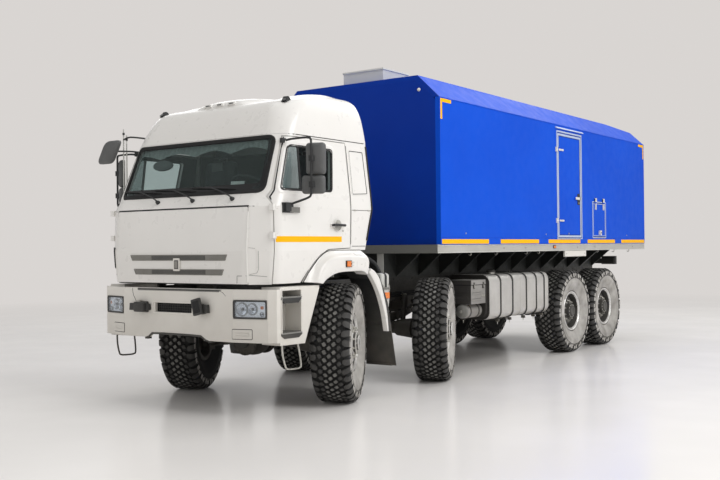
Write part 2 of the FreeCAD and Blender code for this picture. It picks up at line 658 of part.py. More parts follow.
def steam_plant():
    """The boiler and the water tank, as plain blocks on the deck."""
    boiler = cylinder(V(0, 7000, DECK_TOP), Z_AXIS, 620, 1650)
    tank = box(-900, 900, 2500, 4600, DECK_TOP, 2900)
    return [boiler, tank]


# ---- cab ----------------------------------------------------------------------------
def section_points(section, inset):
    """Plan corners of one cab section, moved in by inset."""
    z, half, flat, front, side, rear = section
    turn = math.atan2(side - front, half - flat)
    flat_in = flat - inset * math.tan(turn / 2)
    side_in = side + inset * math.tan((math.pi / 2 - turn) / 2)
    half_in, front_in, rear_in = half - inset, front + inset, rear - inset
    round_front = max(CORNER_FRONT - inset, 20.0)
    round_rear = max(CORNER_REAR - inset, 15.0)
    return [(V(-half_in, rear_in, z), round_rear), (V(-half_in, side_in, z), round_front),
            (V(-flat_in, front_in, z), round_front), (V(flat_in, front_in, z), round_front),
            (V(half_in, side_in, z), round_front), (V(half_in, rear_in, z), round_rear)]


def cab_loft(inset, sections=CAB_SECTIONS):
    wires = [rounded_wire(section_points(section, inset)) for section in sections]
    return Part.makeLoft(wires, True, True)


def below_floor():
    return box(-1400, 1400, SKIRT_Y, 900, 900, CAB_FLOOR_Z0)


def shield_prism(grow=0.0):
    (xb, zb), (xt, zt) = SHIELD_OUTLINE
    outline = [(-xb - grow, zb - grow), (xb + grow, zb - grow), (xt + grow, zt + grow),
               (-xt - grow, zt + grow)]
    wire = rounded_wire([(V(x, -1600, z), 70.0) for x, z in outline])
    return Part.Face(wire).extrude(V(0, 1000, 0))


def window_prism():
    return rounded_prism_x(WINDOW_OUTLINE, 35.0, 900, 1400)


def cab_and_doors():
    outer = cab_loft(0.0)
    inner = cab_loft(CAB_WALL)
    cavity = inner.common(box(-1400, 1400, -1600, 900, CAB_FLOOR_Z1, SEAM_Z + 1))
    skirt = inner.common(box(-1400, 1400, -1600, SKIRT_Y + 100, 1200, CAB_FLOOR_Z0))
    shell = outer.cut(cavity).cut(skirt).cut(below_floor())
    skin = outer.cut(inner)
    # doors
    door_prism = prism_x(DOOR_OUTLINE, 900, 1400)
    hole_prism = prism_x(offset_outline(DOOR_OUTLINE, GAP), 900, 1400)
    door = skin.common(door_prism).cut(window_prism())
    shell = shell.cut(hole_prism).cut(mirror(hole_prism))
    door_hinges = []
    for z in DOOR_HINGE_Z:
        point = V(DOOR_PIVOT_X, DOOR_PIVOT_Y, z)
        fixed, moving = hinge(
            point, Z_AXIS,
            [box(1120, DOOR_PIVOT_X + 4, DOOR_PIVOT_Y - 40, DOOR_PIVOT_Y - 3,
                 z - HINGE_L / 2, z + HINGE_L / 2)],
            [box(1130, DOOR_PIVOT_X + 4, DOOR_PIVOT_Y + 3, DOOR_PIVOT_Y + 40,
                 z - HINGE_L / 6, z + HINGE_L / 6)],
            pin_r=4.0, barrel_r=8.0)
        door_hinges.append((fixed, moving))
    for fixed, moving in door_hinges:
        shell = shell.fuse(fixed).fuse(mirror(fixed))
        door = door.fuse(moving)
    handle = box(1165, 1200, -275, -55, 1838, 1872)
    door = fuse([door, handle])
    # windshield
    shell = shell.cut(shield_prism())
    pane = cab_loft(GLASS_IN).cut(cab_loft(GLASS_IN + GLASS_T))
    shield = pane.common(shield_prism())
    glass = pane.common(window_prism())
    # front panel and the bay behind it
    opening = box(-PANEL_X - GAP, PANEL_X + GAP, -1400, -1100, 1200, PANEL_Z1 + PANEL_SEAM)
    shell = shell.cut(opening.common(cab_skin_slab()))
    wall = box(-1110, 1110, -1165, -1145, CAB_FLOOR_Z0, 2075).common(inner)
    shell = shell.fuse(wall)
    slab = outer.cut(cab_loft(PANEL_T))
    panel = slab.common(box(-PANEL_X, PANEL_X, -1400, -1150, PANEL_Z0, PANEL_Z1))
    for x in PANEL_HINGE_X:
        point = V(x, PANEL_PIVOT_Y, PANEL_PIVOT_Z)
        fixed, moving = hinge(
            point, X_AXIS,
            [box(x - 30, x + 30, PANEL_PIVOT_Y - 6, PANEL_PIVOT_Y + 14, PANEL_PIVOT_Z + 3,
                 PANEL_PIVOT_Z + 30)],
            [box(x - 10, x + 10, PANEL_PIVOT_Y - 6, PANEL_PIVOT_Y + 6, PANEL_PIVOT_Z - 30,
                 PANEL_PIVOT_Z - 3)],
            pin_r=3.5, barrel_r=7.0)
        shell = shell.fuse(fixed)
        panel = panel.fuse(moving)
    # tilt lugs under the floor
    for x in (PIVOT_X, -PIVOT_X):
        low = x - 12
        lug = prism_x([(PIVOT_Y - 28, PIVOT_Z), (PIVOT_Y - 28, CAB_FLOOR_Z0 + 5),
                       (PIVOT_Y + 150, CAB_FLOOR_Z0 + 5), (PIVOT_Y + 28, PIVOT_Z)],
                      low, low + 24)
        eye = cylinder(V(low, PIVOT_Y, PIVOT_Z), X_AXIS, 28, 24)
        bore = cylinder(V(low - 5, PIVOT_Y, PIVOT_Z), X_AXIS, PIVOT_R + RUN, 34)
        shell = shell.fuse(fuse([lug, eye]).cut(bore))
    save("cab_shell", shell.removeSplitter())
    save("front_panel", panel.removeSplitter())
    save("windshield", shield)
    save("door_left", door)
    save("door_right", mirror(door))
    save("door_glass_left", glass)
    save("door_glass_right", mirror(glass))


def cab_skin_slab():
    """The front skin of the cab, which the front panel replaces."""
    return cab_loft(-2.0).cut(cab_loft(CAB_WALL + 2.0)).common(box(-1400, 1400, -1400, -1060, 1200, 2300))


def cab_roof():
    outer = cab_loft(0.0, ROOF_SECTIONS)
    inner = cab_loft(CAB_WALL - 10, ROOF_SECTIONS)
    inner = inner.common(box(-1400, 1400, -1600, 900, SEAM_Z - 5, ROOF_SECTIONS[-1][0] - 40))
    return outer.cut(inner)


def seats():
    """Driver's and passenger's seats and the bunk behind them."""
    solids = []
    for x in (SEAT_X, -SEAT_X):
        base = box(x - 200, x + 200, -480, -60, CAB_FLOOR_Z1, 2000)
        cushion = box(x - 250, x + 250, -540, -60, 1990, 2110)
        back = prism_x([(-150, 2100), (-40, 2100), (20, 2640), (-70, 2640)], x - 240, x + 240)
        head = prism_x([(-60, 2640), (15, 2640), (25, 2800), (-50, 2800)], x - 130, x + 130)
        solids.append(fuse([base, cushion, back, head]))
    bunk = box(-1050, 1050, 60, CAB_SECTIONS[2][5], CAB_FLOOR_Z1, 2180)
    solids.append(bunk.common(cab_loft(CAB_WALL + SEAT)))
    return solids


def dashboard():
    """Dashboard with the steering column and wheel, which face the driver's seat."""
    outline = [(-1145, 1830), (-1145, 2060), (-1020, 2130), (-900, 2090), (-870, 1960), (-930, 1830)]
    body = prism_x(outline, -960, 960).common(cab_loft(CAB_WALL + SEAT))
    tilt = V(0, 0.55, 0.83).normalize()
    centre = V(SEAT_X, -760, 2240)
    wheel = Part.makeTorus(WHEEL_R, 16, centre, tilt)
    hub = cylinder(centre - tilt * 25, tilt, 60, 40)
    spoke = box(SEAT_X - WHEEL_R, SEAT_X + WHEEL_R, centre.y - 15, centre.y + 15,
                centre.z - 15, centre.z + 5)
    column = cylinder(centre - tilt * 400, tilt, 32, 380)
    return fuse([body, wheel, hub, column, spoke])


def mirrors():
    """Mirror arm, bracket and two heads of the left door."""
    bar_x, bar_y = 1400.0, -855.0
    bar = cylinder(V(bar_x, bar_y, 2130), Z_AXIS, 11, 560)
    top_arm = cylinder(V(1085, -862, 2680), V(bar_x - 1085, bar_y + 862, 0), 11, bar_x - 1085)
    low_start = V(1175, -955, 2040)
    low_end = V(bar_x, bar_y, 2135)
    low_arm = cylinder(low_start, low_end - low_start, 11, (low_end - low_start).Length)
    bracket = box(1140, 1200, -1030, -880, 1968, 2070)
    big = rounded_slab(1330, MIRROR_X, 2334, 2642)
    small = rounded_slab(1240, MIRROR_X - 10, 2146, 2326)
    stubs = [box(bar_x - 20, bar_x + 20, bar_y, -810, z - 15, z + 15) for z in (2490, 2240)]
    arms = fuse([bar, top_arm, low_arm, bracket, big, small] + stubs)
    return arms.cut(cab_loft(0.0)).cut(cab_loft(0.0, ROOF_SECTIONS))


def rounded_slab(x0, x1, z0, z1):
    outline = [(x0, z0), (x1, z0), (x1, z1), (x0, z1)]
    wire = rounded_wire([(V(x, -830, z), 35.0) for x, z in outline])
    return Part.Face(wire).extrude(V(0, 70, 0))


def wheel_arch():
    """Flare over the first left wheel, from the door's foot to the mudguard."""
    outer = [(-708, 1288), (-590, 1416), (-443, 1538), (-305, 1598), (250, 1598), (325, 1505),
             (308, 1368)]
    inner = [(-560, 1270), (-530, 1264), (-420, 1310), (-320, 1350), (-186, 1377), (215, 1377),
             (275, 1330)]
    face = prism_x(outer + inner[::-1], FLARE_X - FLARE_T, FLARE_X)
    liner = strip(inner, -FLARE_T, FLARE_IN, FLARE_X - FLARE_T / 2)
    crown = strip(outer[1:6], FLARE_T, FLARE_TOP_IN, FLARE_X - FLARE_T / 2)
    post = box(FLARE_IN, FLARE_IN + 120, -60, 120, 1385, CAB_FLOOR_Z0)
    return fuse([face, liner, crown, post])


# ---- bumper and its neighbours ------------------------------------------------------
def bumper_outline(inset):
    left = [(x, y) for x, y in BUMPER_PLAN]
    outline = [(-x, y) for x, y in reversed(left)] + left
    back = -1120.0
    outline = [(-BUMPER_PLAN[-1][0], back)] + outline + [(BUMPER_PLAN[-1][0], back)]
    return offset_outline(outline, -inset) if inset else outline


def bumper():
    shell = prism_z(bumper_outline(0.0), BUMPER_Z0, BUMPER_Z1)
    hollow = prism_z(bumper_outline(BUMPER_T), BUMPER_Z0 - 5, BUMPER_Z1 + 5)
    hollow = hollow.fuse(box(-1190, 1190, -1160, -1000, 700, 1300))
    shell = shell.cut(hollow)
    x0, x1, z0, z1 = SLOT
    shell = shell.cut(box(x0, x1, -1400, -1220, z0, z1))
    for lamp in both(lamp_prism()):
        shell = shell.cut(lamp)
    shell = shell.cut(prism_y([(-430, 700), (-350, 770), (350, 770), (430, 700)], -1400, -1200))
    for x in FORK_X:
        shell = shell.cut(box(x - 50, x + 50, -1400, -1220, z0, z1))
    struts = both(box(700, 760, -1275, BEAM_Y0, 1000, 1080))
    return fuse([shell] + struts)


def lamp_prism():
    x0, x1, z0, z1 = LAMP
    return box(x0, x1, -1400, -1150, z0, z1)


def headlamps():
    lens = prism_z(offset_outline(bumper_outline(0.0), -3.0), LAMP[2] + 1, LAMP[3] - 1)
    back = prism_z(offset_outline(bumper_outline(0.0), -BUMPER_T), 900, 1200)
    unit = lens.cut(back).common(box(LAMP[0] + SEAT, LAMP[1] - SEAT, -1400, -1165, 0, 2000))
    return both(unit)


def step_box():
    """Housing with two treads under the left door, open to the side."""
    outline = [(-1115, 700), (-744, 695), (-513, 1222), (-513, 1254), (-1115, 1254)]
    body = prism_x(outline, STEP_X0, STEP_X1)
    recess = box(STEP_X0 + STEP_WALL, STEP_X1 + 5, -1090, -800, 800, 1230)
    tread = box(STEP_X0, STEP_X1 - 20, -1095, -795, 1125, 1150)
    arm = box(BEAM_X, STEP_X0 + 5, -1115, BEAM_Y1, BEAM_Z0 + 10, BEAM_Z1 - 5)
    return fuse([body.cut(recess), tread, arm])


def mudguard():
    """Curved guard and flap behind the first left wheel."""
    guard = prism_x([(340, 1385), (415, 1346), (495, 1285), (640, 1010), (FLAP_Y - 12, 770),
                     (FLAP_Y, 770), (655, 1015), (508, 1298), (424, 1360), (346, 1399)],
                    850, FLARE_X)
    flap = prism_x([(FLAP_Y - 11, 800), (FLAP_Y + 96, 315), (FLAP_Y + 106, 315), (FLAP_Y - 1, 800)],
                   850, FLARE_X)
    lip = prism_x([(340, 1335), (425, 1270), (515, 1160), (586, 1000), (645, 705),
                   (FLAP_Y, 705), (FLAP_Y, 775), (650, 1012), (505, 1296), (422, 1358),
                   (345, 1397)], FLARE_X - 45, FLARE_X)
    arm = box(RAIL_X1, 900, 655, 705, 1010, 1060)
    return fuse([guard, flap, lip, arm])


def tow_forks():
    """Two forks on the bumper beam, each with a bore for its pin."""
    forks = []
    for x in FORK_X:
        fork = box(x - 45, x + 45, FRONT_Y, BEAM_Y0, 990, 1080)
        jaw = box(x - 60, x + 60, FRONT_Y - 5, FRONT_Y + 75, 1018, 1052)
        bore = cylinder(V(x, FRONT_Y + 40, 900), Z_AXIS, FORK_BORE_R, 300)
        forks.append(fork.cut(jaw).cut(bore))
    return forks


def rear_guard():
    """Rear cross bar with lamp housings and the tow hook."""
    bar = box(-840, 840, RAIL_Y1, RAIL_Y1 + 60, 1300, 1390)
    lamps = both(box(600, 850, RAIL_Y1 + 30, RAIL_Y1 + 120, 1285, 1430))
    plate = box(-RAIL_X1, RAIL_X1, RAIL_Y1, RAIL_Y1 + 12, RAIL_Z0, 1310)
    hook = box(-60, 60, RAIL_Y1 + 5, RAIL_Y1 + 160, 1030, 1150)
    jaw = box(-70, 70, RAIL_Y1 + 60, RAIL_Y1 + 170, 1065, 1115)
    bore = cylinder(V(0, RAIL_Y1 + 110, 900), Z_AXIS, 24.5, 400)
    return fuse([bar, plate, hook.cut(jaw).cut(bore)] + lamps)


# ---- everything ---------------------------------------------------------------------
os.makedirs("parts", exist_ok=True)

wheels()
save("axles", [axle(y, angle != 0) for number, y, angle in AXLES])
save("leaf_springs", springs())
save("chassis_frame", chassis_frame())
save("driveline", driveline())
save("engine", engine())
save("fuel_tanks", both(fuel_tank()))
save("battery_carriers", both(battery_carrier()))
save("air_cleaner", air_cleaner())
save("platform", platform())
side_walls_and_doors()
end_walls_and_door()
save("box_roof", box_roof())
save("roof_unit", roof_unit())
save("steam_plant", steam_plant())
cab_and_doors()
save("cab_roof", cab_roof())
save("seats", seats())
save("dashboard", dashboard())
for side_name, side in SIDES:
    left = mirrors()
    save("mirror_" + side_name, left if side > 0 else mirror(left))
save("wheel_arches", both(wheel_arch()))
save("bumper", bumper())
save("headlamps", headlamps())
save("step_boxes", both(step_box()))
save("mudguards", both(mudguard()))
save("tow_forks", tow_forks())
save("rear_guard", rear_guard())
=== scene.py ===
"""Looks of the steam generator truck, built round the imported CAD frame.

Lengths are metres. A place is written (x, y, z) with y measured rearward from the
first axle, as the vehicle's own drawing would have it; at() turns it into the frame.
A side is 1 on the vehicle's left and -1 on its right.
"""

import json
import math
import random

import bmesh
import bpy
from mathutils import Matrix, Vector
from mathutils.bvhtree import BVHTree


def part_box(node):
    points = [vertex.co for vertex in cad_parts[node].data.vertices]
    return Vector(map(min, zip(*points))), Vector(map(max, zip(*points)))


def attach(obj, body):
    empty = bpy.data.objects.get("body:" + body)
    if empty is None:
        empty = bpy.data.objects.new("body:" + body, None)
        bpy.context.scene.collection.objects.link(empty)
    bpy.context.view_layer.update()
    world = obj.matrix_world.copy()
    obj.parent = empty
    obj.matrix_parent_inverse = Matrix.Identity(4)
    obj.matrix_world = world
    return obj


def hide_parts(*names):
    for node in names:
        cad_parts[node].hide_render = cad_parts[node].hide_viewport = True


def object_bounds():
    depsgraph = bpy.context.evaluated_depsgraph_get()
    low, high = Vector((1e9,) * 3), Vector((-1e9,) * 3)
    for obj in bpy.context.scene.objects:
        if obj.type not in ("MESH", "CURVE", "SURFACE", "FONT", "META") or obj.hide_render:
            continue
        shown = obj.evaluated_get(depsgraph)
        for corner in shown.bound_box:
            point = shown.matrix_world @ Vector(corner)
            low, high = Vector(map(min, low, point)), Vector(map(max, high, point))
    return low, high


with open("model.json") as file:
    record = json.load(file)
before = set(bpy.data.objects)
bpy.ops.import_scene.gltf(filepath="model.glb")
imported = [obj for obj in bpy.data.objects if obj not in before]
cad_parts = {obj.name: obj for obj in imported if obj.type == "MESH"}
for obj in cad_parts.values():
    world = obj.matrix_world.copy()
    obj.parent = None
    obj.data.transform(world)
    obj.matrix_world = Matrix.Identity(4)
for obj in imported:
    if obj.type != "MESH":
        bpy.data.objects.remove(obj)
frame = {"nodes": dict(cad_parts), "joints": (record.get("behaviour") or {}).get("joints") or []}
cad_low, cad_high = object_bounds()
JOINTS = {joint["name"]: joint for joint in frame["joints"]}
AXLE_1_Y = JOINTS["steer_1_left"]["pos_m"][1]
NAMES = {1: "left", -1: "right"}
UP, DOWN, BACK, AHEAD = (0, 0, 1), (0, 0, -1), (0, 1, 0), (0, -1, 0)
random.seed(7)


def at(x, y, z):
    """The point of the frame at x and z that lies y behind the first axle."""
    return Vector((x, y + AXLE_1_Y, z))


# ---- materials -----------------------------------------------------------------------
def linear(red, green, blue):
    """A colour picked in 0-255 display values, as the shader wants it."""
    return tuple((c / 255.0) ** 2.2 for c in (red, green, blue)) + (1.0,)


class Nodes:
    """A short way to write a node tree."""

    def __init__(self, owner):
        owner.use_nodes = True
        self.tree = owner.node_tree

    def feed(self, node, sockets):
        """Sets each socket to its number or colour, or links it to the output given."""
        for key, value in sockets.items():
            if isinstance(value, bpy.types.NodeSocket):
                self.tree.links.new(value, node.inputs[key])
            else:
                node.inputs[key].default_value = value

    def add(self, kind, sockets, **settings):
        """Adds a node with its settings and sockets, and gives its outputs."""
        node = self.tree.nodes.new("ShaderNode" + kind)
        for key, value in settings.items():
            setattr(node, key, value)
        self.feed(node, sockets)
        return node.outputs


class Finish(Nodes):
    """The node tree of one material, round its own shader."""

    def __init__(self, name):
        self.material = bpy.data.materials.new(name)
        super().__init__(self.material)
        self.shader = self.tree.nodes["Principled BSDF"]
        self.coords = self.add("TexCoord", {})["Object"]

    def noise(self, scale, detail=3.0):
        sockets = {"Vector": self.coords, "Scale": scale, "Detail": detail}
        return self.add("TexNoise", sockets)["Fac"]

    def spread(self, value, low, high, out_low=0.0, out_high=1.0):
        """Maps low to high on to out_low to out_high, held at both ends."""
        sockets = {"Value": value, 1: low, 2: high, 3: out_low, 4: out_high}
        return self.add("MapRange", sockets)["Result"]

    def mix(self, factor, first, second):
        return self.add("Mix", {"Factor": factor, 6: first, 7: second}, data_type="RGBA")[2]

    def math(self, operation, first, second=0.0):
        return self.add("Math", {0: first, 1: second}, operation=operation)["Value"]

    def axis(self, letter):
        return self.add("SeparateXYZ", {"Vector": self.coords})[letter]

    def bump(self, height, strength, distance, **more):
        sockets = {"Height": height, "Strength": strength, "Distance": distance, **more}
        return self.add("Bump", sockets)["Normal"]

    def cover(self, share, below, above):
        """The material shows above over below, by share."""
        mixed = self.add("MixShader", {"Fac": share, 1: below, 2: above})["Shader"]
        self.feed(self.tree.nodes["Material Output"], {"Surface": mixed})
        return self.material

    def done(self, colour, rough, **more):
        self.feed(self.shader, {"Base Color": colour, "Roughness": rough, **more})
        return self.material


def surface(name, colour, other, grain=2.0, rough=(0.35, 0.5), metal=0.0, coat=0.0,
            bump=(90.0, 0.02), edge=0.0, worn=None, dust_and_shade=None, shine=0.5, inside=None,
            face=None, glow=0.0):
    """A solid finish. bump is (scale, strength); edge is the radius that softens edges;
    dust is (lowest z, highest z, colour, most), a colour that grows towards the bottom: a dusting on
    most finishes, painted shade on the blue end walls; worn is (colour, most) on the edges;
    inside is (largest x, colour, lowest y): the part hidden between those is that colour, painted
    shade;
    face is (y, colour): what lies ahead of y is that colour, painted shade on faces turned forward;
    glow makes the finish give out its own colour, painted light."""
    n = Finish(name)
    tint = n.mix(n.spread(n.noise(grain, 5.0), 0.3, 0.7), linear(*colour), linear(*other))
    fine = n.noise(grain * 9.0, 2.0)
    soft = {}
    # a colour that grows towards the bottom: a dusting on most finishes, painted shade on the blue end
    # walls
    if dust_and_shade:
        low, high, dust_and_shade_colour, most = dust_and_shade
        depth = n.spread(n.axis("Z"), low, high, most, 0.0)
        patch = n.spread(n.noise(5.5, 6.0), 0.25, 0.75, 0.35, 1.0)
        tint = n.mix(n.math("MULTIPLY", depth, patch), tint, linear(*dust_and_shade_colour))
    # painted shade on the part hidden inside those bounds
    if inside:
        across = n.spread(n.math("ABSOLUTE", n.axis("X")), inside[0], inside[0] + 0.004, 1.0, 0.0)
        along = n.spread(n.axis("Y"), inside[2], inside[2] + 0.004)
        tint = n.mix(n.math("MULTIPLY", across, along), tint, linear(*inside[1]))
    # painted shade on what lies ahead of y
    if face:
        tint = n.mix(n.spread(n.axis("Y"), face[0], face[0] + 0.0004), linear(*face[1]), tint)
    if edge:
        soft = {"Normal": n.add("Bevel", {"Radius": edge}, samples=4)["Normal"]}
    if worn:
        plain = n.add("NewGeometry", {})["Normal"]
        dot = n.add("VectorMath", {0: soft["Normal"], 1: plain}, operation="DOT_PRODUCT")
        rim = n.spread(dot["Value"], 0.98, 0.8, 0.0, worn[1])
        tint = n.mix(n.math("MULTIPLY", rim, n.spread(fine, 0.45, 0.6)), tint, linear(*worn[0]))
    normal = n.bump(n.noise(bump[0], 2.0), bump[1], 0.01, **soft)
    # glow makes the finish give out its own colour: painted light
    return n.done(tint, n.spread(fine, 0.3, 0.7, *rough),
                  **{"Normal": normal, "Metallic": metal, "Coat Weight": coat,
                     "Coat Roughness": 0.08, "Specular IOR Level": shine,
                     "Emission Color": linear(*colour), "Emission Strength": glow})


def glass(name, tint, body, body_share):
    """Thin glass: it mirrors by angle and tints what is seen through it."""
    n = Finish(name)
    darker = linear(*(c * 0.8 ** (1 / 2.2) for c in body))
    n.done(n.mix(n.noise(2.0), linear(*body), darker),
           n.spread(n.noise(3.0, 4.0), 0.3, 0.8, 0.02, 0.06), **{"Coat Weight": 0.6})
    clear = n.add("BsdfTransparent", {"Color": tint + (1.0,)})["BSDF"]
    # seen from behind, the glass has the inverse index
    index = n.spread(n.add("NewGeometry", {})["Backfacing"], 0.0, 1.0, 1.5, 0.667)
    share = n.math("ADD", n.add("Fresnel", {"IOR": index})["Fac"], body_share)
    return n.cover(share, clear, n.shader.outputs["BSDF"])


def tape(name, colour, other):
    """Reflective tape: small cells pressed into the film."""
    n = Finish(name)
    cells = n.add("TexVoronoi", {"Vector": n.coords, "Scale": 160.0})["Distance"]
    tint = n.mix(n.spread(cells, 0.1, 0.6), linear(*colour), linear(*other))
    return n.done(tint, n.spread(n.noise(12.0), 0.3, 0.7, 0.4, 0.55),
                  **{"Normal": n.bump(cells, 0.15, 0.002), "Specular IOR Level": 0.15})


def weave(name, colour, other):
    """Seat cloth with crossed threads."""
    n = Finish(name)
    across, along = (n.add("TexWave", {"Vector": n.coords, "Scale": 130.0},
                           bands_direction=axis)["Fac"] for axis in ("X", "Z"))
    threads = n.math("MULTIPLY", across, along)
    patch = n.mix(n.spread(n.noise(6.0), 0.3, 0.7), linear(*colour), linear(*other))
    return n.done(n.mix(threads, patch, linear(*other)),
                  n.spread(n.noise(40.0), 0.2, 0.8, 0.8, 0.95),
                  **{"Normal": n.bump(threads, 0.4, 0.002), "Sheen Weight": 0.3})


WHITE = surface("white_paint", (235, 233, 229), (231, 229, 225), 1.2, (0.26, 0.36), coat=0.35,
                bump=(60.0, 0.008), dust_and_shade=(0.7, 1.9, (198, 193, 183), 0.22))
BUMPER_WHITE = surface("bumper_paint", (226, 223, 216), (218, 214, 207), 2.5, (0.34, 0.5),
                       bump=(120.0, 0.03), edge=0.01, dust_and_shade=(0.7, 1.2, (165, 158, 146), 0.35))
BLUE_COAT = dict(grain=0.8, rough=(0.46, 0.58), coat=0.02, bump=(45.0, 0.012), edge=0.006,
                 shine=0.10)
# a darker blue for the forward faces of the van body, which stand in shade: painted shade
BLUE_PAINTED_SHADE = (4, 56, 158)
BLUE = surface("blue_paint", (4, 82, 212), (2, 76, 202), dust_and_shade=(1.7, 2.0, (60, 100, 190), 0.08),
               **BLUE_COAT)
# the roof's front edge, ahead of y, takes the darker blue: painted shade
BLUE_ROOF = surface("blue_roof_paint", (4, 82, 212), (2, 76, 202), face=(-1.9772, BLUE_PAINTED_SHADE),
                    **BLUE_COAT)
# both end walls take the darker blue, and grow darker again towards their bottom: painted shade
BLUE_END_SHADED = surface("blue_end_painted_shade", BLUE_PAINTED_SHADE, (2, 50, 148),
                   dust_and_shade=(1.7, 2.6, (10, 40, 100), 0.35), **BLUE_COAT)
DOOR_TRIM = surface("door_trim", (186, 198, 220), (170, 184, 210), 3.0, (0.3, 0.45),
                    bump=(80.0, 0.02))
GREY = surface("grey_paint", (206, 206, 200), (196, 196, 190), 2.0, (0.4, 0.55),
               bump=(80.0, 0.03), edge=0.006, worn=((140, 130, 116), 0.4))
# the platform is painted dark where it lies hidden under the van body, and darker on its front face:
# painted shade
DECK_GREY = surface("deck_paint", (182, 181, 175), (168, 167, 161), 2.0, (0.45, 0.6),
                    bump=(80.0, 0.03), edge=0.006, inside=(1.190, (46, 48, 46), -2.0),
                    face=(-2.0285, (112, 112, 107)))
BOX_COAT = dict(grain=3.0, rough=(0.42, 0.58), bump=(90.0, 0.03), edge=0.006,
                dust_and_shade=(0.7, 1.3, (120, 112, 100), 0.35))
DARK_GREY = surface("box_grey", (150, 148, 145), (134, 132, 129), **BOX_COAT)
# the battery box's front face is painted darker: painted shade
BATTERY_GREY = surface("battery_grey", (150, 148, 145), (134, 132, 129),
                       face=(-1.0785, (66, 64, 62)), **BOX_COAT)
CLEANER = surface("cleaner_paint", (206, 206, 202), (190, 190, 184), 4.0, (0.4, 0.55),
                  bump=(90.0, 0.03), edge=0.006, dust_and_shade=(0.9, 1.3, (150, 142, 130), 0.25))
BLACK = surface("black_steel", (58, 58, 56), (46, 46, 44), 4.0, (0.45, 0.65), bump=(70.0, 0.08),
                edge=0.008, worn=((105, 98, 90), 0.55), dust_and_shade=(0.3, 1.4, (104, 96, 84), 0.45))
CAST = surface("cast_iron", (92, 90, 86), (72, 70, 67), 6.0, (0.55, 0.75), metal=0.3,
               bump=(140.0, 0.25), edge=0.01, dust_and_shade=(0.4, 1.8, (110, 102, 90), 0.4))
# the tank's front face is painted dark: painted shade
ALUMINIUM = surface("tank_aluminium", (214, 212, 208), (196, 194, 190), 3.5, (0.34, 0.5),
                    metal=0.65, bump=(50.0, 0.05), edge=0.008, face=(-0.677, (74, 72, 70)),
                    dust_and_shade=(0.6, 1.3, (150, 144, 134), 0.35))
PLASTIC = surface("black_plastic", (48, 49, 50), (40, 41, 42), 8.0, (0.5, 0.66),
                  bump=(420.0, 0.12), dust_and_shade=(0.3, 1.3, (150, 142, 128), 0.3))
SHELL = surface("mirror_shell", (94, 95, 95), (84, 85, 85), 8.0, (0.5, 0.62), bump=(380.0, 0.12))
TRIM = surface("grey_plastic", (132, 131, 127), (118, 117, 113), 6.0, (0.5, 0.62),
               bump=(300.0, 0.1))
GRILLE_DARK = surface("grille_dark", (96, 95, 91), (84, 83, 80), 5.0, (0.42, 0.56),
                      bump=(200.0, 0.06))
GRILLE_LIGHT = surface("grille_light", (140, 138, 132), (128, 126, 120), 5.0, (0.4, 0.55),
                       bump=(200.0, 0.06))
RUBBER = surface("seal_rubber", (26, 27, 28), (20, 21, 22), 9.0, (0.6, 0.8), bump=(260.0, 0.08))
FRIT = surface("screen_border", (24, 26, 28), (18, 20, 22), 6.0, (0.10, 0.20), bump=(60.0, 0.01))
SEAM = surface("seam_shadow", (150, 149, 146), (138, 137, 134), 6.0, (0.5, 0.65),
               bump=(120.0, 0.03))
TREAD = surface("tyre_groove", (42, 42, 41), (33, 33, 32), 9.0, (0.75, 0.9), bump=(220.0, 0.15))
# the tops of the middle tread blocks are lighter than the outer ones and the grooves: partly scuffed
# rubber, partly painted light from above
TREAD_TOP = surface("tyre_tread", (122, 121, 117), (84, 83, 80), 14.0, (0.5, 0.7),
                    bump=(260.0, 0.12))
TREAD_LUG = surface("tyre_lug", (72, 71, 69), (54, 53, 52), 12.0, (0.6, 0.8), bump=(160.0, 0.06))
SIDEWALL = surface("tyre_sidewall", (98, 96, 92), (72, 70, 68), 5.0, (0.62, 0.8),
                   bump=(180.0, 0.08))
SIDEWALL_DUST = surface("tyre_dust", (184, 181, 176), (140, 137, 132), 6.0, (0.7, 0.85),
                        bump=(180.0, 0.06))
RIM_LIGHT = surface("rim_silver", (232, 231, 228), (206, 204, 200), 9.0, (0.25, 0.42),
                    metal=0.55, bump=(90.0, 0.05), edge=0.004,
                    dust_and_shade=(0.0, 1.3, (140, 134, 124), 0.18))
RIM_DARK = surface("rim_dark", (82, 81, 79), (64, 63, 61), 7.0, (0.45, 0.62), metal=0.2,
                   bump=(90.0, 0.05), edge=0.004, dust_and_shade=(0.0, 1.3, (110, 104, 94), 0.3))
ZINC = surface("zinc", (196, 194, 188), (160, 158, 150), 20.0, (0.3, 0.45), metal=0.8,
               bump=(200.0, 0.05))
CHROME = surface("reflector", (235, 236, 238), (214, 216, 220), 10.0, (0.06, 0.14), metal=1.0,
                 bump=(40.0, 0.01))
MIRROR_GLASS = surface("mirror_glass", (150, 158, 164), (140, 148, 154), 3.0, (0.02, 0.05),
                       metal=1.0, bump=(20.0, 0.002))
# the lamp's back plate glows faintly, standing for light mirrored inside the lamp: painted light
LAMP_BACK = surface("lamp_bezel", (226, 228, 230), (206, 208, 212), 12.0, (0.22, 0.34),
                    metal=0.2, bump=(140.0, 0.02), glow=0.30)
LENS_COAT = dict(grain=18.0, rough=(0.15, 0.3), coat=0.6, bump=(240.0, 0.12))
ORANGE = surface("amber_lens", (240, 134, 44), (226, 112, 30), **LENS_COAT)
RED = surface("red_lens", (170, 20, 18), (140, 12, 12), **LENS_COAT)
YELLOW = tape("yellow_tape", (255, 194, 2), (250, 182, 0))
FABRIC = weave("seat_fabric", (78, 80, 84), (52, 54, 58))
VALANCE = weave("valance_cloth", (168, 172, 168), (138, 142, 140))
VINYL = surface("bunk_vinyl", (96, 92, 86), (82, 78, 73), 6.0, (0.5, 0.65), bump=(240.0, 0.12))
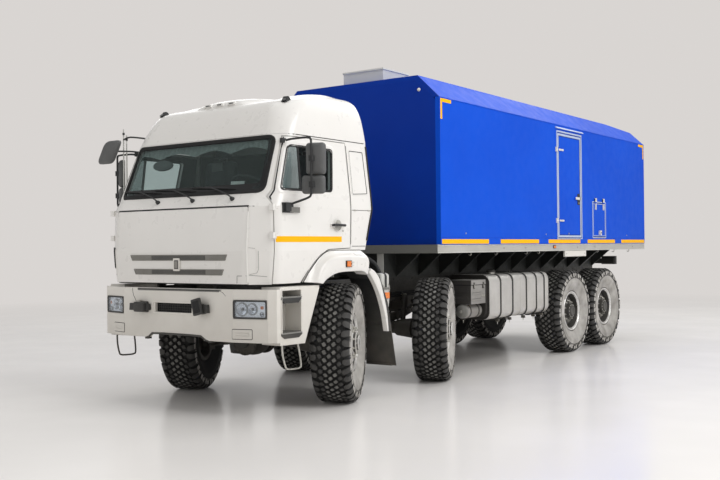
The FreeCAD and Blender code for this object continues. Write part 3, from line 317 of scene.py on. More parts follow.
# the cab's lining is painted very dark, partly its own colour and partly painted shade inside the cab
LINER = surface("dark_lining", (58, 60, 60), (46, 48, 48), 4.0, (0.75, 0.9), bump=(300.0, 0.1))
PANEL = surface("seat_panel", (150, 152, 150), (132, 134, 132), 8.0, (0.5, 0.65),
                bump=(220.0, 0.1))
PAPER = surface("paper", (236, 236, 232), (224, 224, 218), 5.0, (0.7, 0.8))
SCREEN = glass("windshield_glass", (0.84, 0.90, 0.90), (112, 124, 122), 0.07)
SIDE_GLASS = glass("door_glass", (0.86, 0.91, 0.91), (34, 40, 42), 0.03)
# the quarter pane shows a near-white body over a third of the clear glass: painted reflection
QUARTER_GLASS = glass("quarter_glass", (0.90, 0.93, 0.93), (196, 206, 206), 0.32)
LENS = glass("lamp_glass", (0.90, 0.92, 0.94), (196, 200, 205), 0.10)

for material, nodes in (
        (BLACK, "chassis_frame axles leaf_springs tow_forks rear_guard"),
        (CAST, "driveline engine steam_plant knuckle_1_left knuckle_1_right knuckle_2_left "
               "knuckle_2_right"),
        (BLUE, "box_side_walls box_door_left box_door_right box_hatch box_rear_door"),
        (WHITE, "cab_shell wheel_arches door_left door_right front_panel cab_roof"),
        (BUMPER_WHITE, "bumper step_boxes"), (PLASTIC, "mudguards dashboard"),
        (SIDE_GLASS, "door_glass_left door_glass_right"), (SCREEN, "windshield"),
        (DECK_GREY, "platform"), (BLUE_END_SHADED, "box_end_walls"), (BLUE_ROOF, "box_roof"),
        (GREY, "roof_unit"), (ALUMINIUM, "fuel_tanks"), (BATTERY_GREY, "battery_carriers"),
        (DARK_GREY, "air_cleaner")):
    for node in nodes.split():
        slots = frame["nodes"][node].data.materials
        slots.clear()
        slots.append(material)


# ---- mesh building -------------------------------------------------------------------
def spoke(place, along, radius, turn):
    """A point at an angle round the X axis of place."""
    return place @ Vector((along, radius * math.cos(turn), radius * math.sin(turn)))


class Kit:
    """Collects faces with their materials and puts them in the scene as one piece."""

    def __init__(self, *materials):
        self.mesh = bmesh.new()
        self.materials = materials

    def face(self, verts, m=0):
        """A face of material m; two points may coincide, but a face is never made twice."""
        try:
            self.mesh.faces.new(verts).material_index = m
        except ValueError:
            pass

    def grid(self, rows, m=0, close_rows=False, close_columns=False, colours=None):
        """Faces between rows of points; colours gives each column its own material."""
        verts = [[self.mesh.verts.new(p) for p in row] for row in rows]
        count, width = len(rows), len(rows[0])
        for i in range(count if close_rows else count - 1):
            for j in range(width if close_columns else width - 1):
                a, b = verts[i], verts[(i + 1) % count]
                k = (j + 1) % width
                self.face((a[j], a[k], b[k], b[j]), colours[j] if colours else m)
        return verts

    def loft(self, rings, m=0, low=False, high=True, last=None):
        """Closed rings joined in turn, with an end face at the low end, the high end or both."""
        verts = self.grid(rings, m, close_columns=True)
        if low:
            self.face(verts[0][::-1], m)
        if high:
            self.face(verts[-1], m if last is None else last)

    def block(self, low, high, m=0, taper=0.0):
        """A box; taper draws its top in on all sides."""
        (x0, y0, z0), (x1, y1, z1) = low, high
        self.loft([[Vector((x0 + t, y0 + t, z)), Vector((x1 - t, y0 + t, z)),
                    Vector((x1 - t, y1 - t, z)), Vector((x0 + t, y1 - t, z))]
                   for t, z in ((0.0, z0), (taper, z1))], m, low=True)

    def box(self, side, x, y, z, m=0, taper=0.0):
        """A box from pairs of x, y and z, on one side of the vehicle."""
        x0, x1 = sorted((side * x[0], side * x[1]))
        self.block(at(x0, y[0], z[0]), at(x1, y[1], z[1]), m, taper)

    def prism(self, outline, low, high, axis=0, m=0, place=Matrix()):
        """An outline drawn in the two other axes, pulled from low to high along axis."""
        self.loft([[place @ Vector((*q[:axis], level, *q[axis:])) for q in outline]
                   for level in (low, high)], m, low=True)

    def plate(self, side, x, y, z, m, radius=0.004, steps=3):
        """A rounded plate on one side of the vehicle, standing from the first x to the next."""
        x0, x1 = sorted((side * x[0], side * x[1]))
        self.prism(rectangle(y[0] + AXLE_1_Y, y[1] + AXLE_1_Y, *z, radius, steps), x0, x1, 0, m)

    def lathe(self, profile, place, segments=32, m=0, closed=False, colours=None):
        """Turns (along, radius) points round the X axis of place."""
        self.grid([[spoke(place, u, r, 2 * math.pi * i / segments) for u, r in profile]
                   for i in range(segments)], m, True, closed, colours)

    def tube(self, path, radius, sides=8, m=0, closed=False):
        """A round bar that follows the path."""
        count = len(path)
        rings = []
        side = None
        for i, p in enumerate(path):
            before = path[i - 1] if i or closed else p
            after = path[(i + 1) % count] if i < count - 1 or closed else p
            ahead = (after - before).normalized()
            if side is None:
                side = ahead.orthogonal().normalized()
            side = (side - ahead * side.dot(ahead)).normalized()
            up = ahead.cross(side)
            rings.append([p + (side * math.cos(2 * math.pi * k / sides)
                               + up * math.sin(2 * math.pi * k / sides)) * radius
                          for k in range(sides)])
        if closed:
            self.grid(rings, m, True, True)
        else:
            self.loft(rings, m, low=True)

    def bolt(self, place, radius, height, m=0):
        """A hexagon head with a washer, standing along the X axis of place."""
        washer, thick = radius * 1.5, height * 0.2
        self.lathe([(0, 0.0), (0, washer), (thick, washer), (thick, 0.0)], place, 12, m)
        self.loft([[spoke(place, u, r, math.pi * k / 3) for k in range(6)] for u, r in
                   ((thick, radius), (height * 0.85, radius), (height, radius * 0.8))], m)

    def bolts(self, place, along, circle, count, radius, height, m=0, start=0.0):
        """Bolts in a ring round the X axis of place."""
        for i in range(count):
            shift = spoke(Matrix(), along, circle, start + 2 * math.pi * i / count)
            self.bolt(place @ Matrix.Translation(shift), radius, height, m)

    def side_bolts(self, side, x, spots, radius, height, m=0):
        """Bolts at (y, z) spots of a face at x, on one side of the vehicle."""
        for y, z in spots:
            self.bolt(facing(at(side * x, y, z), (side, 0, 0)), radius, height, m)

    def put(self, name, body, bevel=0.0, replaces=(), sharp=35.0):
        """The piece, riding on its body, smooth where faces meet below the sharp angle."""
        bmesh.ops.recalc_face_normals(self.mesh, faces=self.mesh.faces)
        limit = math.radians(sharp)
        for edge in self.mesh.edges:
            edge.smooth = len(edge.link_faces) != 2 or edge.calc_face_angle() < limit
        for face in self.mesh.faces:
            face.smooth = True
        mesh = bpy.data.meshes.new(name)
        self.mesh.to_mesh(mesh)
        self.mesh.free()
        for material in self.materials:
            mesh.materials.append(material)
        piece = bpy.data.objects.new(name, mesh)
        bpy.context.scene.collection.objects.link(piece)
        if bevel:
            cut = piece.modifiers.new("bevel", "BEVEL")
            cut.width = bevel
            cut.segments = 2
            cut.limit_method = "ANGLE"
            cut.angle_limit = limit
            cut.harden_normals = True
        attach(piece, body)
        if replaces:
            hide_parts(*replaces)
        return piece


def rounded(corners, radius, steps=5):
    """The outline with each corner turned into an arc; radius is one number or one a corner."""
    points = []
    for i, corner in enumerate(corners):
        p = Vector(corner)
        a = Vector(corners[i - 1]) - p
        b = Vector(corners[(i + 1) % len(corners)]) - p
        size = radius if isinstance(radius, float) else radius[i]
        reach = min(size, a.length * 0.49, b.length * 0.49)
        start, end = p + a.normalized() * reach, p + b.normalized() * reach
        for k in range(steps + 1):
            t = k / steps
            points.append((1 - t) ** 2 * start + 2 * t * (1 - t) * p + t * t * end)
    return points


def rectangle(a0, a1, b0, b1, radius, steps=5):
    """A rectangle with rounded corners."""
    return rounded([(a0, b0), (a1, b0), (a1, b1), (a0, b1)], radius, steps)


def inset(a0, a1, b0, b1, by, radius, steps=5):
    """A rounded rectangle with each side drawn in."""
    return rectangle(a0 + by, a1 - by, b0 + by, b1 - by, radius, steps)


def grown(corners, by):
    """A convex outline with every side moved outward; corners go either way round."""
    points = [Vector(p) for p in corners]
    count = len(points)
    sign = math.copysign(1.0, sum(points[i - 1].cross(points[i]) for i in range(count)))
    moved = []
    for i, p in enumerate(points):
        d1, d2 = (p - points[i - 1]).normalized(), (points[(i + 1) % count] - p).normalized()
        n1, n2 = Vector((d1.y, -d1.x)) * sign, Vector((d2.y, -d2.x)) * sign
        moved.append(p + (n1 + n2) * by / (1 + n1.dot(n2)))
    return moved


def split(points, parts):
    """The closed outline with each side cut into parts, where it is longer than 0.1."""
    made = []
    for i, p in enumerate(points):
        q = points[(i + 1) % len(points)]
        pieces = parts if (q - p).length > 0.1 else 1
        made += [p.lerp(q, k / pieces) for k in range(pieces)]
    return made


def contour(corners, by, radius, steps, parts):
    """An outline moved outward by a distance, with round corners, cut finely enough to drape."""
    return split(rounded(grown(corners, by), radius, steps), parts)


def spaced(low, high, count):
    """Evenly spaced numbers from low to high."""
    return [low + (high - low) * k / (count - 1) for k in range(count)]


def ease(points, steps=8):
    """A smooth path through the points."""
    made = []
    for i in range(len(points) - 1):
        p0, p3 = points[max(i - 1, 0)], points[min(i + 2, len(points) - 1)]
        p1, p2 = points[i], points[i + 1]
        for t in (k / steps for k in range(steps)):
            made.append(0.5 * ((2 * p1) + (p2 - p0) * t + (2 * p0 - 5 * p1 + 4 * p2 - p3) * t * t
                               + (3 * p1 - p0 - 3 * p2 + p3) * t ** 3))
    return made + [points[-1]]


def facing(origin, direction):
    """A place whose X axis points along direction."""
    x = Vector(direction).normalized()
    z = Vector(UP)
    if abs(x.dot(z)) > 0.95:
        z = Vector(BACK)
    y = z.cross(x).normalized()
    place = Matrix((x, y, x.cross(y))).transposed().to_4x4()
    place.translation = origin
    return place


class Skin:
    """The outer face of some CAD nodes, seen from one side, to lay thin parts on."""

    FAR = 9.0
    SUNK = -0.001
    RAYS = {"front": BACK, "rear": AHEAD, "left": (-1, 0, 0), "right": (1, 0, 0), "top": DOWN}

    def __init__(self, nodes, side):
        verts, faces = [], []
        for node in nodes.split():
            mesh = frame["nodes"][node].data
            start = len(verts)
            verts += [v.co.copy() for v in mesh.vertices]
            faces += [[start + i for i in f.vertices] for f in mesh.polygons]
        self.tree = BVHTree.FromPolygons(verts, faces)
        self.side = side

    def on(self, a, b, lift=0.0):
        """The skin point at (x, z) from the front or rear, (y, z) from a side, (x, y) from above."""
        far = self.FAR
        start = {"front": (a, -far, b), "rear": (a, far * 2, b), "left": (far, a, b),
                 "right": (-far, a, b), "top": (a, b, far)}[self.side]
        ray = Vector(self.RAYS[self.side])
        point, normal, _, _ = self.tree.ray_cast(at(*start), ray)
        if point is None:
            raise ValueError("no skin at %s %.3f %.3f" % (self.side, a, b))
        if normal.dot(ray) > 0:
            normal = -normal
        return point + normal * lift

    def patch(self, kit, corners, lift, m=0, across=1, along=1):
        """A thin plate on the skin between four corners."""
        def border(rows):
            """The points round the edge of a grid."""
            return (rows[0] + [r[-1] for r in rows[1:]] + rows[-1][-2::-1]
                    + [r[0] for r in rows[-2:0:-1]])
        a, b, c, d = (Vector(p) for p in corners)
        top, low = [], []
        for s in spaced(0.0, 1.0, across + 1):
            row = [a.lerp(b, t).lerp(d.lerp(c, t), s) for t in spaced(0.0, 1.0, along + 1)]
            top.append([self.on(q.x, q.y, lift) for q in row])
            low.append([self.on(q.x, q.y, self.SUNK) for q in row])
        kit.grid(top, m)
        kit.grid([border(low), border(top)], m, close_columns=True)

    def strip(self, kit, a0, a1, b0, b1, lift, m=0, across=1, along=1):
        """A patch with straight sides."""
        self.patch(kit, [(a0, b0), (a1, b0), (a1, b1), (a0, b1)], lift, m, across, along)

    def drape(self, kit, outlines, lifts, m=0):
        """A raised profile that runs round a closed outline."""
        kit.grid([[self.on(p.x, p.y, lift) for p in outline]
                  for outline, lift in zip(outlines, lifts)], m, close_columns=True)

    def ring(self, kit, outer, inner, lift, m=0):
        """A flat frame on the skin between two outlines."""
        self.drape(kit, (outer, outer, inner, inner), (self.SUNK, lift, lift, self.SUNK), m)

    def line(self, kit, path, width, lift, m=0):
        """A narrow raised strip on the skin."""
        points = []
        for p, q in zip(path, path[1:]):
            p, q = Vector(p), Vector(q)
            pieces = max(1, int((q - p).length / 0.05))
            points += [p.lerp(q, k / pieces) for k in range(pieces)]
        points.append(Vector(path[-1]))
        rows = []
        for i, p in enumerate(points):
            ahead = (points[min(i + 1, len(points) - 1)] - points[max(i - 1, 0)]).normalized()
            side = Vector((-ahead.y, ahead.x)) * width / 2
            rows.append([self.on(*(p + side), self.SUNK), self.on(*(p + side), lift),
                         self.on(*(p - side), lift), self.on(*(p - side), self.SUNK)])
        kit.grid(rows, m)


# ---- wheels --------------------------------------------------------------------------
TYRE_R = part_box("tyre_3_left")[1].z / 2
TREAD_FLOOR = TYRE_R - 0.027
BLOCK_PITCHES, LUG_PITCHES = 48, 40
BLOCK_COLUMNS = (-0.098, -0.049, 0.0, 0.049, 0.098)
BLOCK = ((-0.030, -0.008), (-0.004, -0.028), (0.014, -0.026), (0.030, 0.008), (0.004, 0.028),
         (-0.014, 0.026))
# sidewall and carcass, half: along the axle, radius, and the colour of the band before it; the dark
# bands out to radius 0.309, just past the rim's flange, are painted shadow between bead and flange
CARCASS = [(0.140, 0.270, 3), (0.142, 0.303, 0), (0.150, 0.309, 0), (0.160, 0.325, 3),
           (0.178, 0.362, 3), (0.195, 0.402, 3), (0.204, 0.440, 3), (0.2065, 0.444, 3),
           (0.2065, 0.451, 3), (0.205, 0.456, 3), (0.204, 0.500, 3), (0.199, 0.532, 2),
           (0.188, 0.560, 0), (0.172, 0.580, 0), (0.148, 0.594, 0), (0.118, TREAD_FLOOR, 0)]


def tyre_block(kit, place, middle, turn, skew):
    """One lozenge of the tread: base, shoulder and worn top, its lighter colour partly wear and partly
    painted light from above.
    """
    crown = TYRE_R - 0.004 * (middle / 0.12) ** 2
    rings = []
    for radius, size in ((TREAD_FLOOR - 0.002, 1.0), (crown - 0.004, 0.88), (crown, 0.74)):
        rings.append([spoke(place, middle + a * size, radius,
                            turn + (b + a * skew) * size / radius) for a, b in BLOCK])
    rings = [[kit.mesh.verts.new(p) for p in ring] for ring in rings]
    for low, high, m in ((rings[0], rings[1], 0), (rings[1], rings[2], 4)):
        for k in range(len(BLOCK)):
            j = (k + 1) % len(BLOCK)
            kit.face((low[k], low[j], high[j], high[k]), m)
    kit.face(rings[2], 4 if abs(middle) > 0.09 else 1)


def shoulder_lug(kit, place, side, turn, long):
    """A lug that runs from the tread over the shoulder."""
    start = 0.124 if long else 0.134
    lean = 0.010 if long else -0.006
    half = 0.034
    path = [(start, TYRE_R - 0.002, 0.50), (start + 0.020, TYRE_R - 0.001, 1.0),
            (0.170, TYRE_R - 0.007, 1.0), (0.188, 0.603, 1.0), (0.2045, 0.575, 0.96),
            (0.2080, 0.518 if long else 0.536, 0.84)]
    rows = []
    for i, (u, r, share) in enumerate(path):
        low_u, low_r = (u, TREAD_FLOOR - 0.004) if i < 2 else (u - 0.016, r - 0.030)
        if i > 3:
            low_u, low_r = u - 0.014, r - 0.008
        rows.append([spoke(place, side * su, sr,
                           turn + (sign * half * width * share + lean * (2 - i) * 0.5) / r)
                     for su, sr, width, sign in ((low_u, low_r, 1.12, -1), (u, r, 0.90, -1),
                                                 (u, r, 0.90, 1), (low_u, low_r, 1.12, 1))])
    verts = [[kit.mesh.verts.new(p) for p in row] for row in rows]
    for i, (a, b) in enumerate(zip(verts, verts[1:])):
        for k, m in ((0, 0), (1, 4 if i < 4 else 3), (2, 0)):
            kit.face((a[k], a[k + 1], b[k + 1], b[k]), m)
    kit.face(verts[0], 0)
    kit.face(verts[-1], 0)


def make_tyre(name, body, place):
    """One tyre with its tread, shoulder lugs and sidewalls; place has X out of the wheel."""
    kit = Kit(TREAD, TREAD_TOP, SIDEWALL, SIDEWALL_DUST, TREAD_LUG)
    half = [(u, r) for u, r, _ in CARCASS]
    bands = [c for _, _, c in CARCASS]
    # the side that faces the frame is left dark, without the dusty bands: painted shade on the inner
    # sidewall
    kit.lathe([(-u, r) for u, r in half] + half[::-1], place, 96, closed=True,
              colours=[0] * len(bands) + bands[:0:-1] + [3])
    step = 2 * math.pi / BLOCK_PITCHES
    for i in range(BLOCK_PITCHES):
        for row, middle in enumerate(BLOCK_COLUMNS):
            turn = (i + 0.5 * (row % 2) + random.uniform(-0.03, 0.03)) * step
            tyre_block(kit, place, middle, turn, 0.18 if middle < 0 else -0.18)
    step = 2 * math.pi / LUG_PITCHES
    for i in range(LUG_PITCHES):
        for side in (-1, 1):
            turn = (i + (0.5 if side > 0 else 0.0)) * step
            shoulder_lug(kit, place, side, turn, i % 2 == 0)
            # moulded ribs on the sidewall, under the gaps between lugs
            for k in (0.38, 0.62):
                spot = place @ Matrix.Rotation(turn + k * step, 4, "X")
                kit.loft([[spot @ Vector((side * (u + rise), r, w)) for u, r, w in
                           ((0.2030, 0.512, -0.002), (0.2030, 0.512, 0.002),
                            (0.1975, 0.536, 0.002), (0.1975, 0.536, -0.002))]
                          for rise in (0.0, 0.003)], 3, low=True)
    kit.put(name + "_tread", body, replaces=[name], sharp=40.0)


def make_rim(name, body, place, steered):
    """A 21 inch rim with its disc, nuts and hub."""
    kit = Kit(RIM_LIGHT if steered else RIM_DARK, RIM_LIGHT, ZINC, BLACK, RIM_DARK)
    disc, face = (0.145, 0.192) if steered else (0.080, 0.150)
    flange, seat, inner = 0.154, 0.140, 0.258
    # the outer flange ring takes the light silver as a painted highlight on its lip, and the barrel
    # inside the rim the dark finish as painted shade
    kit.lathe([(-flange, inner), (-flange, 0.298), (-flange + 0.006, 0.300), (-seat, 0.299),
               (-seat + 0.004, 0.268), (-0.05, 0.266), (0.05, 0.266), (seat - 0.004, 0.268),
               (seat, 0.299), (flange - 0.006, 0.300), (flange, 0.296), (flange, 0.284),
               (flange - 0.012, 0.276), (flange - 0.020, 0.262), (flange - 0.05, inner),
               (-0.05, inner)], place, 72, closed=True, colours=[4] * 8 + [1] * 5 + [4] * 3)
    profile = ((-0.012, 0.060), (-0.012, 0.170), (-0.024, 0.200), (-0.050, 0.236),
               (-0.058, 0.259), (-0.044, 0.259), (-0.038, 0.240), (-0.010, 0.208),
               (0.001, 0.190), (0.003, 0.180), (0.001, 0.172), (0.001, 0.130), (0.004, 0.116),
               (0.004, 0.060))
    kit.lathe([(disc + u, r) for u, r in profile], place, 72, closed=True)
    # drum, hub and cap
    profile = ((-0.014, 0.104), (-0.010, 0.110), (-0.002, 0.110), (0.0, 0.106), (0.0, 0.084),
               (0.016, 0.080), (0.023, 0.072), (0.023, 0.040), (0.019, 0.036), (0.019, 0.0))
    kit.lathe([(-0.075, 0.046), (-0.080, 0.200), (-0.070, 0.205), (0.015, 0.205), (0.020, 0.190),
               (0.024, 0.130), (disc - 0.012, 0.110), (disc + 0.006, 0.112), (disc + 0.012, 0.106)]
              + [(face + u, r) for u, r in profile] + [(0.062, 0.0), (0.062, 0.046)],
              place, 48, closed=True,
              colours=[3] * 6 + [0, 0, 4, 4, 0, 0, 0, 4, 0, 0, 0, 4, 4, 3, 3])
    count = 10
    for i in range(count):
        turn = 2 * math.pi * (i + 0.5) / count
        spot = place @ Matrix.Translation(spoke(Matrix(), disc + 0.001, 0.152, turn))
        kit.lathe([(0, 0.0), (0.0, 0.019), (0.004, 0.019), (0.005, 0.0)], spot, 16, 1)
        kit.bolt(spot, 0.0150, 0.026, 2)
        kit.lathe([(0.022, 0.0), (0.022, 0.009), (0.040, 0.009), (0.043, 0.0)], spot, 10, 2)
    kit.bolts(place, face, 0.094, 12, 0.0065, 0.009, 2)
    # hand holes, shown as shallow recesses with a lip, their black floor a painted shade standing for
    # the open hole
    for i in range(count):
        turn = 2 * math.pi * i / count
        spot = place @ Matrix.Translation(spoke(Matrix(), disc - 0.024, 0.222, turn))
        tilt = Matrix.Rotation(turn, 4, "X") @ Matrix.Rotation(math.radians(42), 4, "Z")
        kit.lathe([(0.0, 0.0), (0.001, 0.015), (0.004, 0.017), (0.005, 0.020), (0.0, 0.022)],
                  spot @ tilt, 16, colours=[3, 3, 0, 0])
    # valve on the rim's well
    kit.tube([place @ Vector(p) for p in ((0.120, 0.24, 0.07), (0.155, 0.232, 0.066))], 0.004, 8, 2)
    kit.put(name + "_wheel", body, replaces=[name], sharp=30.0)


for number in (1, 2, 3, 4):
    for side in (1, -1):
        tag = "%d_%s" % (number, NAMES[side])
        joint = JOINTS["wheel_%s_spin" % tag]
        place = facing(Vector(joint["pos_m"]), side * Vector(joint["axis"]))
        make_tyre("tyre_" + tag, "wheel_" + tag, place)
        make_rim("rim_" + tag, "wheel_" + tag, place, steered=number < 3)


# ---- cab -----------------------------------------------------------------------------
CAB_FRONT = Skin("cab_shell front_panel windshield cab_roof", "front")
CAB_SIDES = {side: Skin("cab_shell door_%s cab_roof door_glass_%s" % (name, name), name)
             for side, name in NAMES.items()}
# windshield opening, seen from the front (x, z)
SHIELD = [(-1.010, 2.178), (1.010, 2.178), (0.975, 2.728), (-0.975, 2.728)]
# door and its window, seen from the side (y, z)
DOOR = [(-1.105, 1.285), (-1.105, 2.120), (-1.060, 2.185), (-0.848, 2.725), (0.080, 2.725),
        (0.065, 1.625), (-0.310, 1.612), (-0.450, 1.550), (-0.600, 1.425), (-0.730, 1.285)]
WINDOW = [(-1.000, 2.195), (-0.832, 2.635), (-0.155, 2.635), (-0.225, 2.205)]


def seal(kit, skin, opening, radius, out, reach, lift, parts):
    """A rubber profile round a window: from outside the opening, over its edge, on to the glass."""
    moves = (out, out, out * 0.7, 0.004, -reach * 0.6, -reach, -reach)
    skin.drape(kit, [contour(opening, by, max(radius + by, 0.01), 8, parts) for by in moves],
               (Skin.SUNK, lift * 0.5, lift, lift, lift, 0.006, Skin.SUNK))


def windshield_seal():
    """Rubber round the windshield, and the dark border printed on its glass."""
    kit = Kit(RUBBER, FRIT)
    seal(kit, CAB_FRONT, SHIELD, 0.074, 0.018, 0.022, 0.006, 14)
    clear = [(-0.955, 2.258), (0.955, 2.258), (0.925, 2.700), (-0.925, 2.700)]
    CAB_FRONT.ring(kit, contour(SHIELD, -0.010, 0.062, 8, 14), contour(clear, 0.0, 0.055, 8, 14),
                   0.0008, 1)
    kit.put("windshield_seal", "cab")


def wiper(index, x):
    """Arm from its pivot on the cowl, and the blade that rests on the glass."""
    kit = Kit(PLASTIC, RUBBER)
    cowl = 2.108
    kit.lathe([(0.0, 0.0), (0.0, 0.024), (0.012, 0.022), (0.030, 0.015), (0.036, 0.0)],
              facing(CAB_FRONT.on(x, cowl), (0, -0.8, 0.45)), 20)
    arm = ((0.0, cowl, 0.028), (0.05, 2.128, 0.040), (0.18, 2.178, 0.050), (0.33, 2.222, 0.036))
    kit.tube(ease([CAB_FRONT.on(x - a, b, lift) for a, b, lift in arm], 5), 0.0075, 8)
    blade = list(zip(spaced(x - 0.64, x - 0.03, 9), spaced(2.243, 2.208, 9)))
    kit.tube([CAB_FRONT.on(a, b, 0.006) for a, b in blade], 0.0055, 6, 1)
    kit.tube([CAB_FRONT.on(a, b + 0.004, 0.018) for a, b in blade[1:-1]], 0.006, 6)
    for a, b in blade[1::2]:
        kit.tube([CAB_FRONT.on(a, b, 0.004), CAB_FRONT.on(a, b + 0.004, 0.020)], 0.008, 6)
    kit.put("wiper_%d" % index, "cab")


def grille():
    """Two dark louvred bars and the blank badge plate on the front panel."""
    kit = Kit(GRILLE_DARK, GRILLE_LIGHT, BUMPER_WHITE, PLASTIC)
    for top, low, half in ((1.566, 1.514, 0.689), (1.422, 1.371, 0.641)):
        corners = [(-half + 0.025, low), (half - 0.025, low), (half, top), (-half, top)]
        CAB_FRONT.ring(kit, contour(corners, 0.004, 0.006, 2, 6),
                       contour(corners, -0.003, 0.003, 2, 6), 0.006, 1)
        # each bar is lighter at its ends and darker in its middle: painted light and shade
        for x0, x1, m in ((-half + 0.014, -0.37, 1), (-0.37, -0.21, 0), (-0.21, 0.40, 0),
                          (0.40, half - 0.014, 1)):
            CAB_FRONT.strip(kit, x0, x1, low + 0.002, top - 0.002, 0.0025, m, 1, 2)
            for z in spaced(low, top, 5)[1:-1]:
                CAB_FRONT.strip(kit, x0 + 0.003, x1 - 0.003, z - 0.0035, z + 0.0035, 0.0065, m, 1, 2)
    y = CAB_FRONT.on(0.0, 1.47).y
    for (x, z0, z1, radius), front, back, m in (((0.047, 1.406, 1.536, 0.014), 0.013, -0.002, 2),
                                                ((0.029, 1.427, 1.515, 0.006), 0.015, 0.012, 3),
                                                ((0.022, 1.435, 1.507, 0.004), 0.0165, 0.0145, 1)):
        kit.prism(rectangle(-x, x, z0, z1, radius), y - front, y - back, 1, m)
    kit.put("grille", "front_panel", bevel=0.0012)


def panel_seams():
    """Seals in the front panel's seams, the corner recesses and the slatted vent."""
    kit = Kit(RUBBER, WHITE, PLASTIC, SEAM)
    kit.tube([CAB_FRONT.on(x, 2.004, -0.016) + Vector((0, 0, 0.026))
              for x in spaced(-0.93, 0.93, 41)], 0.0115, 8)
    for side in (1, -1):
        CAB_FRONT.line(kit, [(side * 0.945, 2.030), (side * 0.987, 2.031)], 0.006, 0.001)
    CAB_FRONT.line(kit, [(-0.987, 2.031), (-1.055, 2.036), (-1.082, 2.075), (-1.070, 2.130)],
                   0.006, 0.001, 3)
    corner = [(0.945, 1.640), (1.000, 1.632), (1.022, 1.605), (1.016, 1.430), (1.000, 1.398),
              (0.945, 1.384)]
    for side in (1, -1):
        CAB_FRONT.line(kit, [(side * x, z) for x, z in corner], 0.007, 0.0035, 1)
        CAB_FRONT.line(kit, [(side * (x + 0.006), z - 0.006) for x, z in corner], 0.0035, 0.001, 3)
        CAB_FRONT.line(kit, [(side * 0.945, 1.372), (side * 1.085, 1.356)], 0.005, 0.0012, 3)
    kit.put("cab_seams", "cab")
    fill = Kit(WHITE)
    for side in (1, -1):
        fill.tube([CAB_FRONT.on(side * 0.922, 1.30 + 0.04 * k, -0.0085)
                   + Vector((side * 0.012, 0, 0)) for k in range(18)], 0.0095, 6)
    fill.tube([CAB_FRONT.on(x, 2.010, -0.0055) + Vector((0, 0, 0.011))
               for x in spaced(-0.925, 0.925, 41)], 0.0055, 6)
    fill.put("panel_seam_fill", "front_panel")
    vent = Kit(PLASTIC, RUBBER)
    outer = [(-1.118, 1.440), (-1.034, 1.432), (-1.034, 1.640), (-1.118, 1.648)]
    CAB_FRONT.patch(vent, outer, 0.002, 1, 4, 4)
    CAB_FRONT.ring(vent, contour(outer, 0.006, 0.010, 3, 5), contour(outer, -0.006, 0.006, 3, 5),
                   0.010)
    for z in (1.452 + k * 0.0235 for k in range(8)):
        CAB_FRONT.strip(vent, -1.115, -1.037, z, z + 0.011, 0.010, 0, 1, 4)
    vent.put("corner_vent", "cab")
    lip = Kit(RUBBER)
    lip.tube([CAB_FRONT.on(x, 1.292, -0.018) - Vector((0, 0, 0.006))
              for x in spaced(-0.92, 0.92, 31)], 0.013, 8)
    lip.put("panel_lip", "front_panel")
    notch = Kit(RUBBER)
    CAB_FRONT.line(notch, [(0.815, 1.292), (0.818, 1.362)], 0.004, 0.0012)
    CAB_FRONT.line(notch, [(0.818, 1.364), (0.925, 1.366)], 0.004, 0.0012)
    notch.put("panel_seam", "front_panel")


# height, half width, half width of the flat front, and y of front, side and rear
ROOF = [(2.600, 1.119, 0.933, -0.966, -0.862, 0.495), (2.755, 1.100, 0.930, -0.903, -0.800, 0.495),
        (3.010, 1.058, 0.880, -0.765, -0.640, 0.475), (3.130, 1.015, 0.800, -0.640, -0.500, 0.458),
        (3.195, 0.965, 0.690, -0.330, -0.210, 0.445), (3.240, 0.880, 0.560, -0.060, 0.040, 0.425),
        (3.265, 0.760, 0.440, 0.110, 0.180, 0.400), (3.285, 0.600, 0.300, 0.200, 0.250, 0.380)]


def roof_section(z):
    """The roof's values at height z, on a smooth curve through its sections."""
    i = 1
    while i < len(ROOF) - 3 and z > ROOF[i + 1][0]:
        i += 1
    p0, p1, p2, p3 = ROOF[i - 1:i + 3]
    t = (z - p1[0]) / (p2[0] - p1[0])
    values = []
    for k in range(1, 6):
        m1 = (p2[k] - p0[k]) / (p2[0] - p0[0]) * (p2[0] - p1[0])
        m2 = (p3[k] - p1[k]) / (p3[0] - p1[0]) * (p2[0] - p1[0])
        values.append((2 * t ** 3 - 3 * t * t + 1) * p1[k] + (t ** 3 - 2 * t * t + t) * m1
                      + (3 * t * t - 2 * t ** 3) * p2[k] + (t ** 3 - t * t) * m2)
    return values


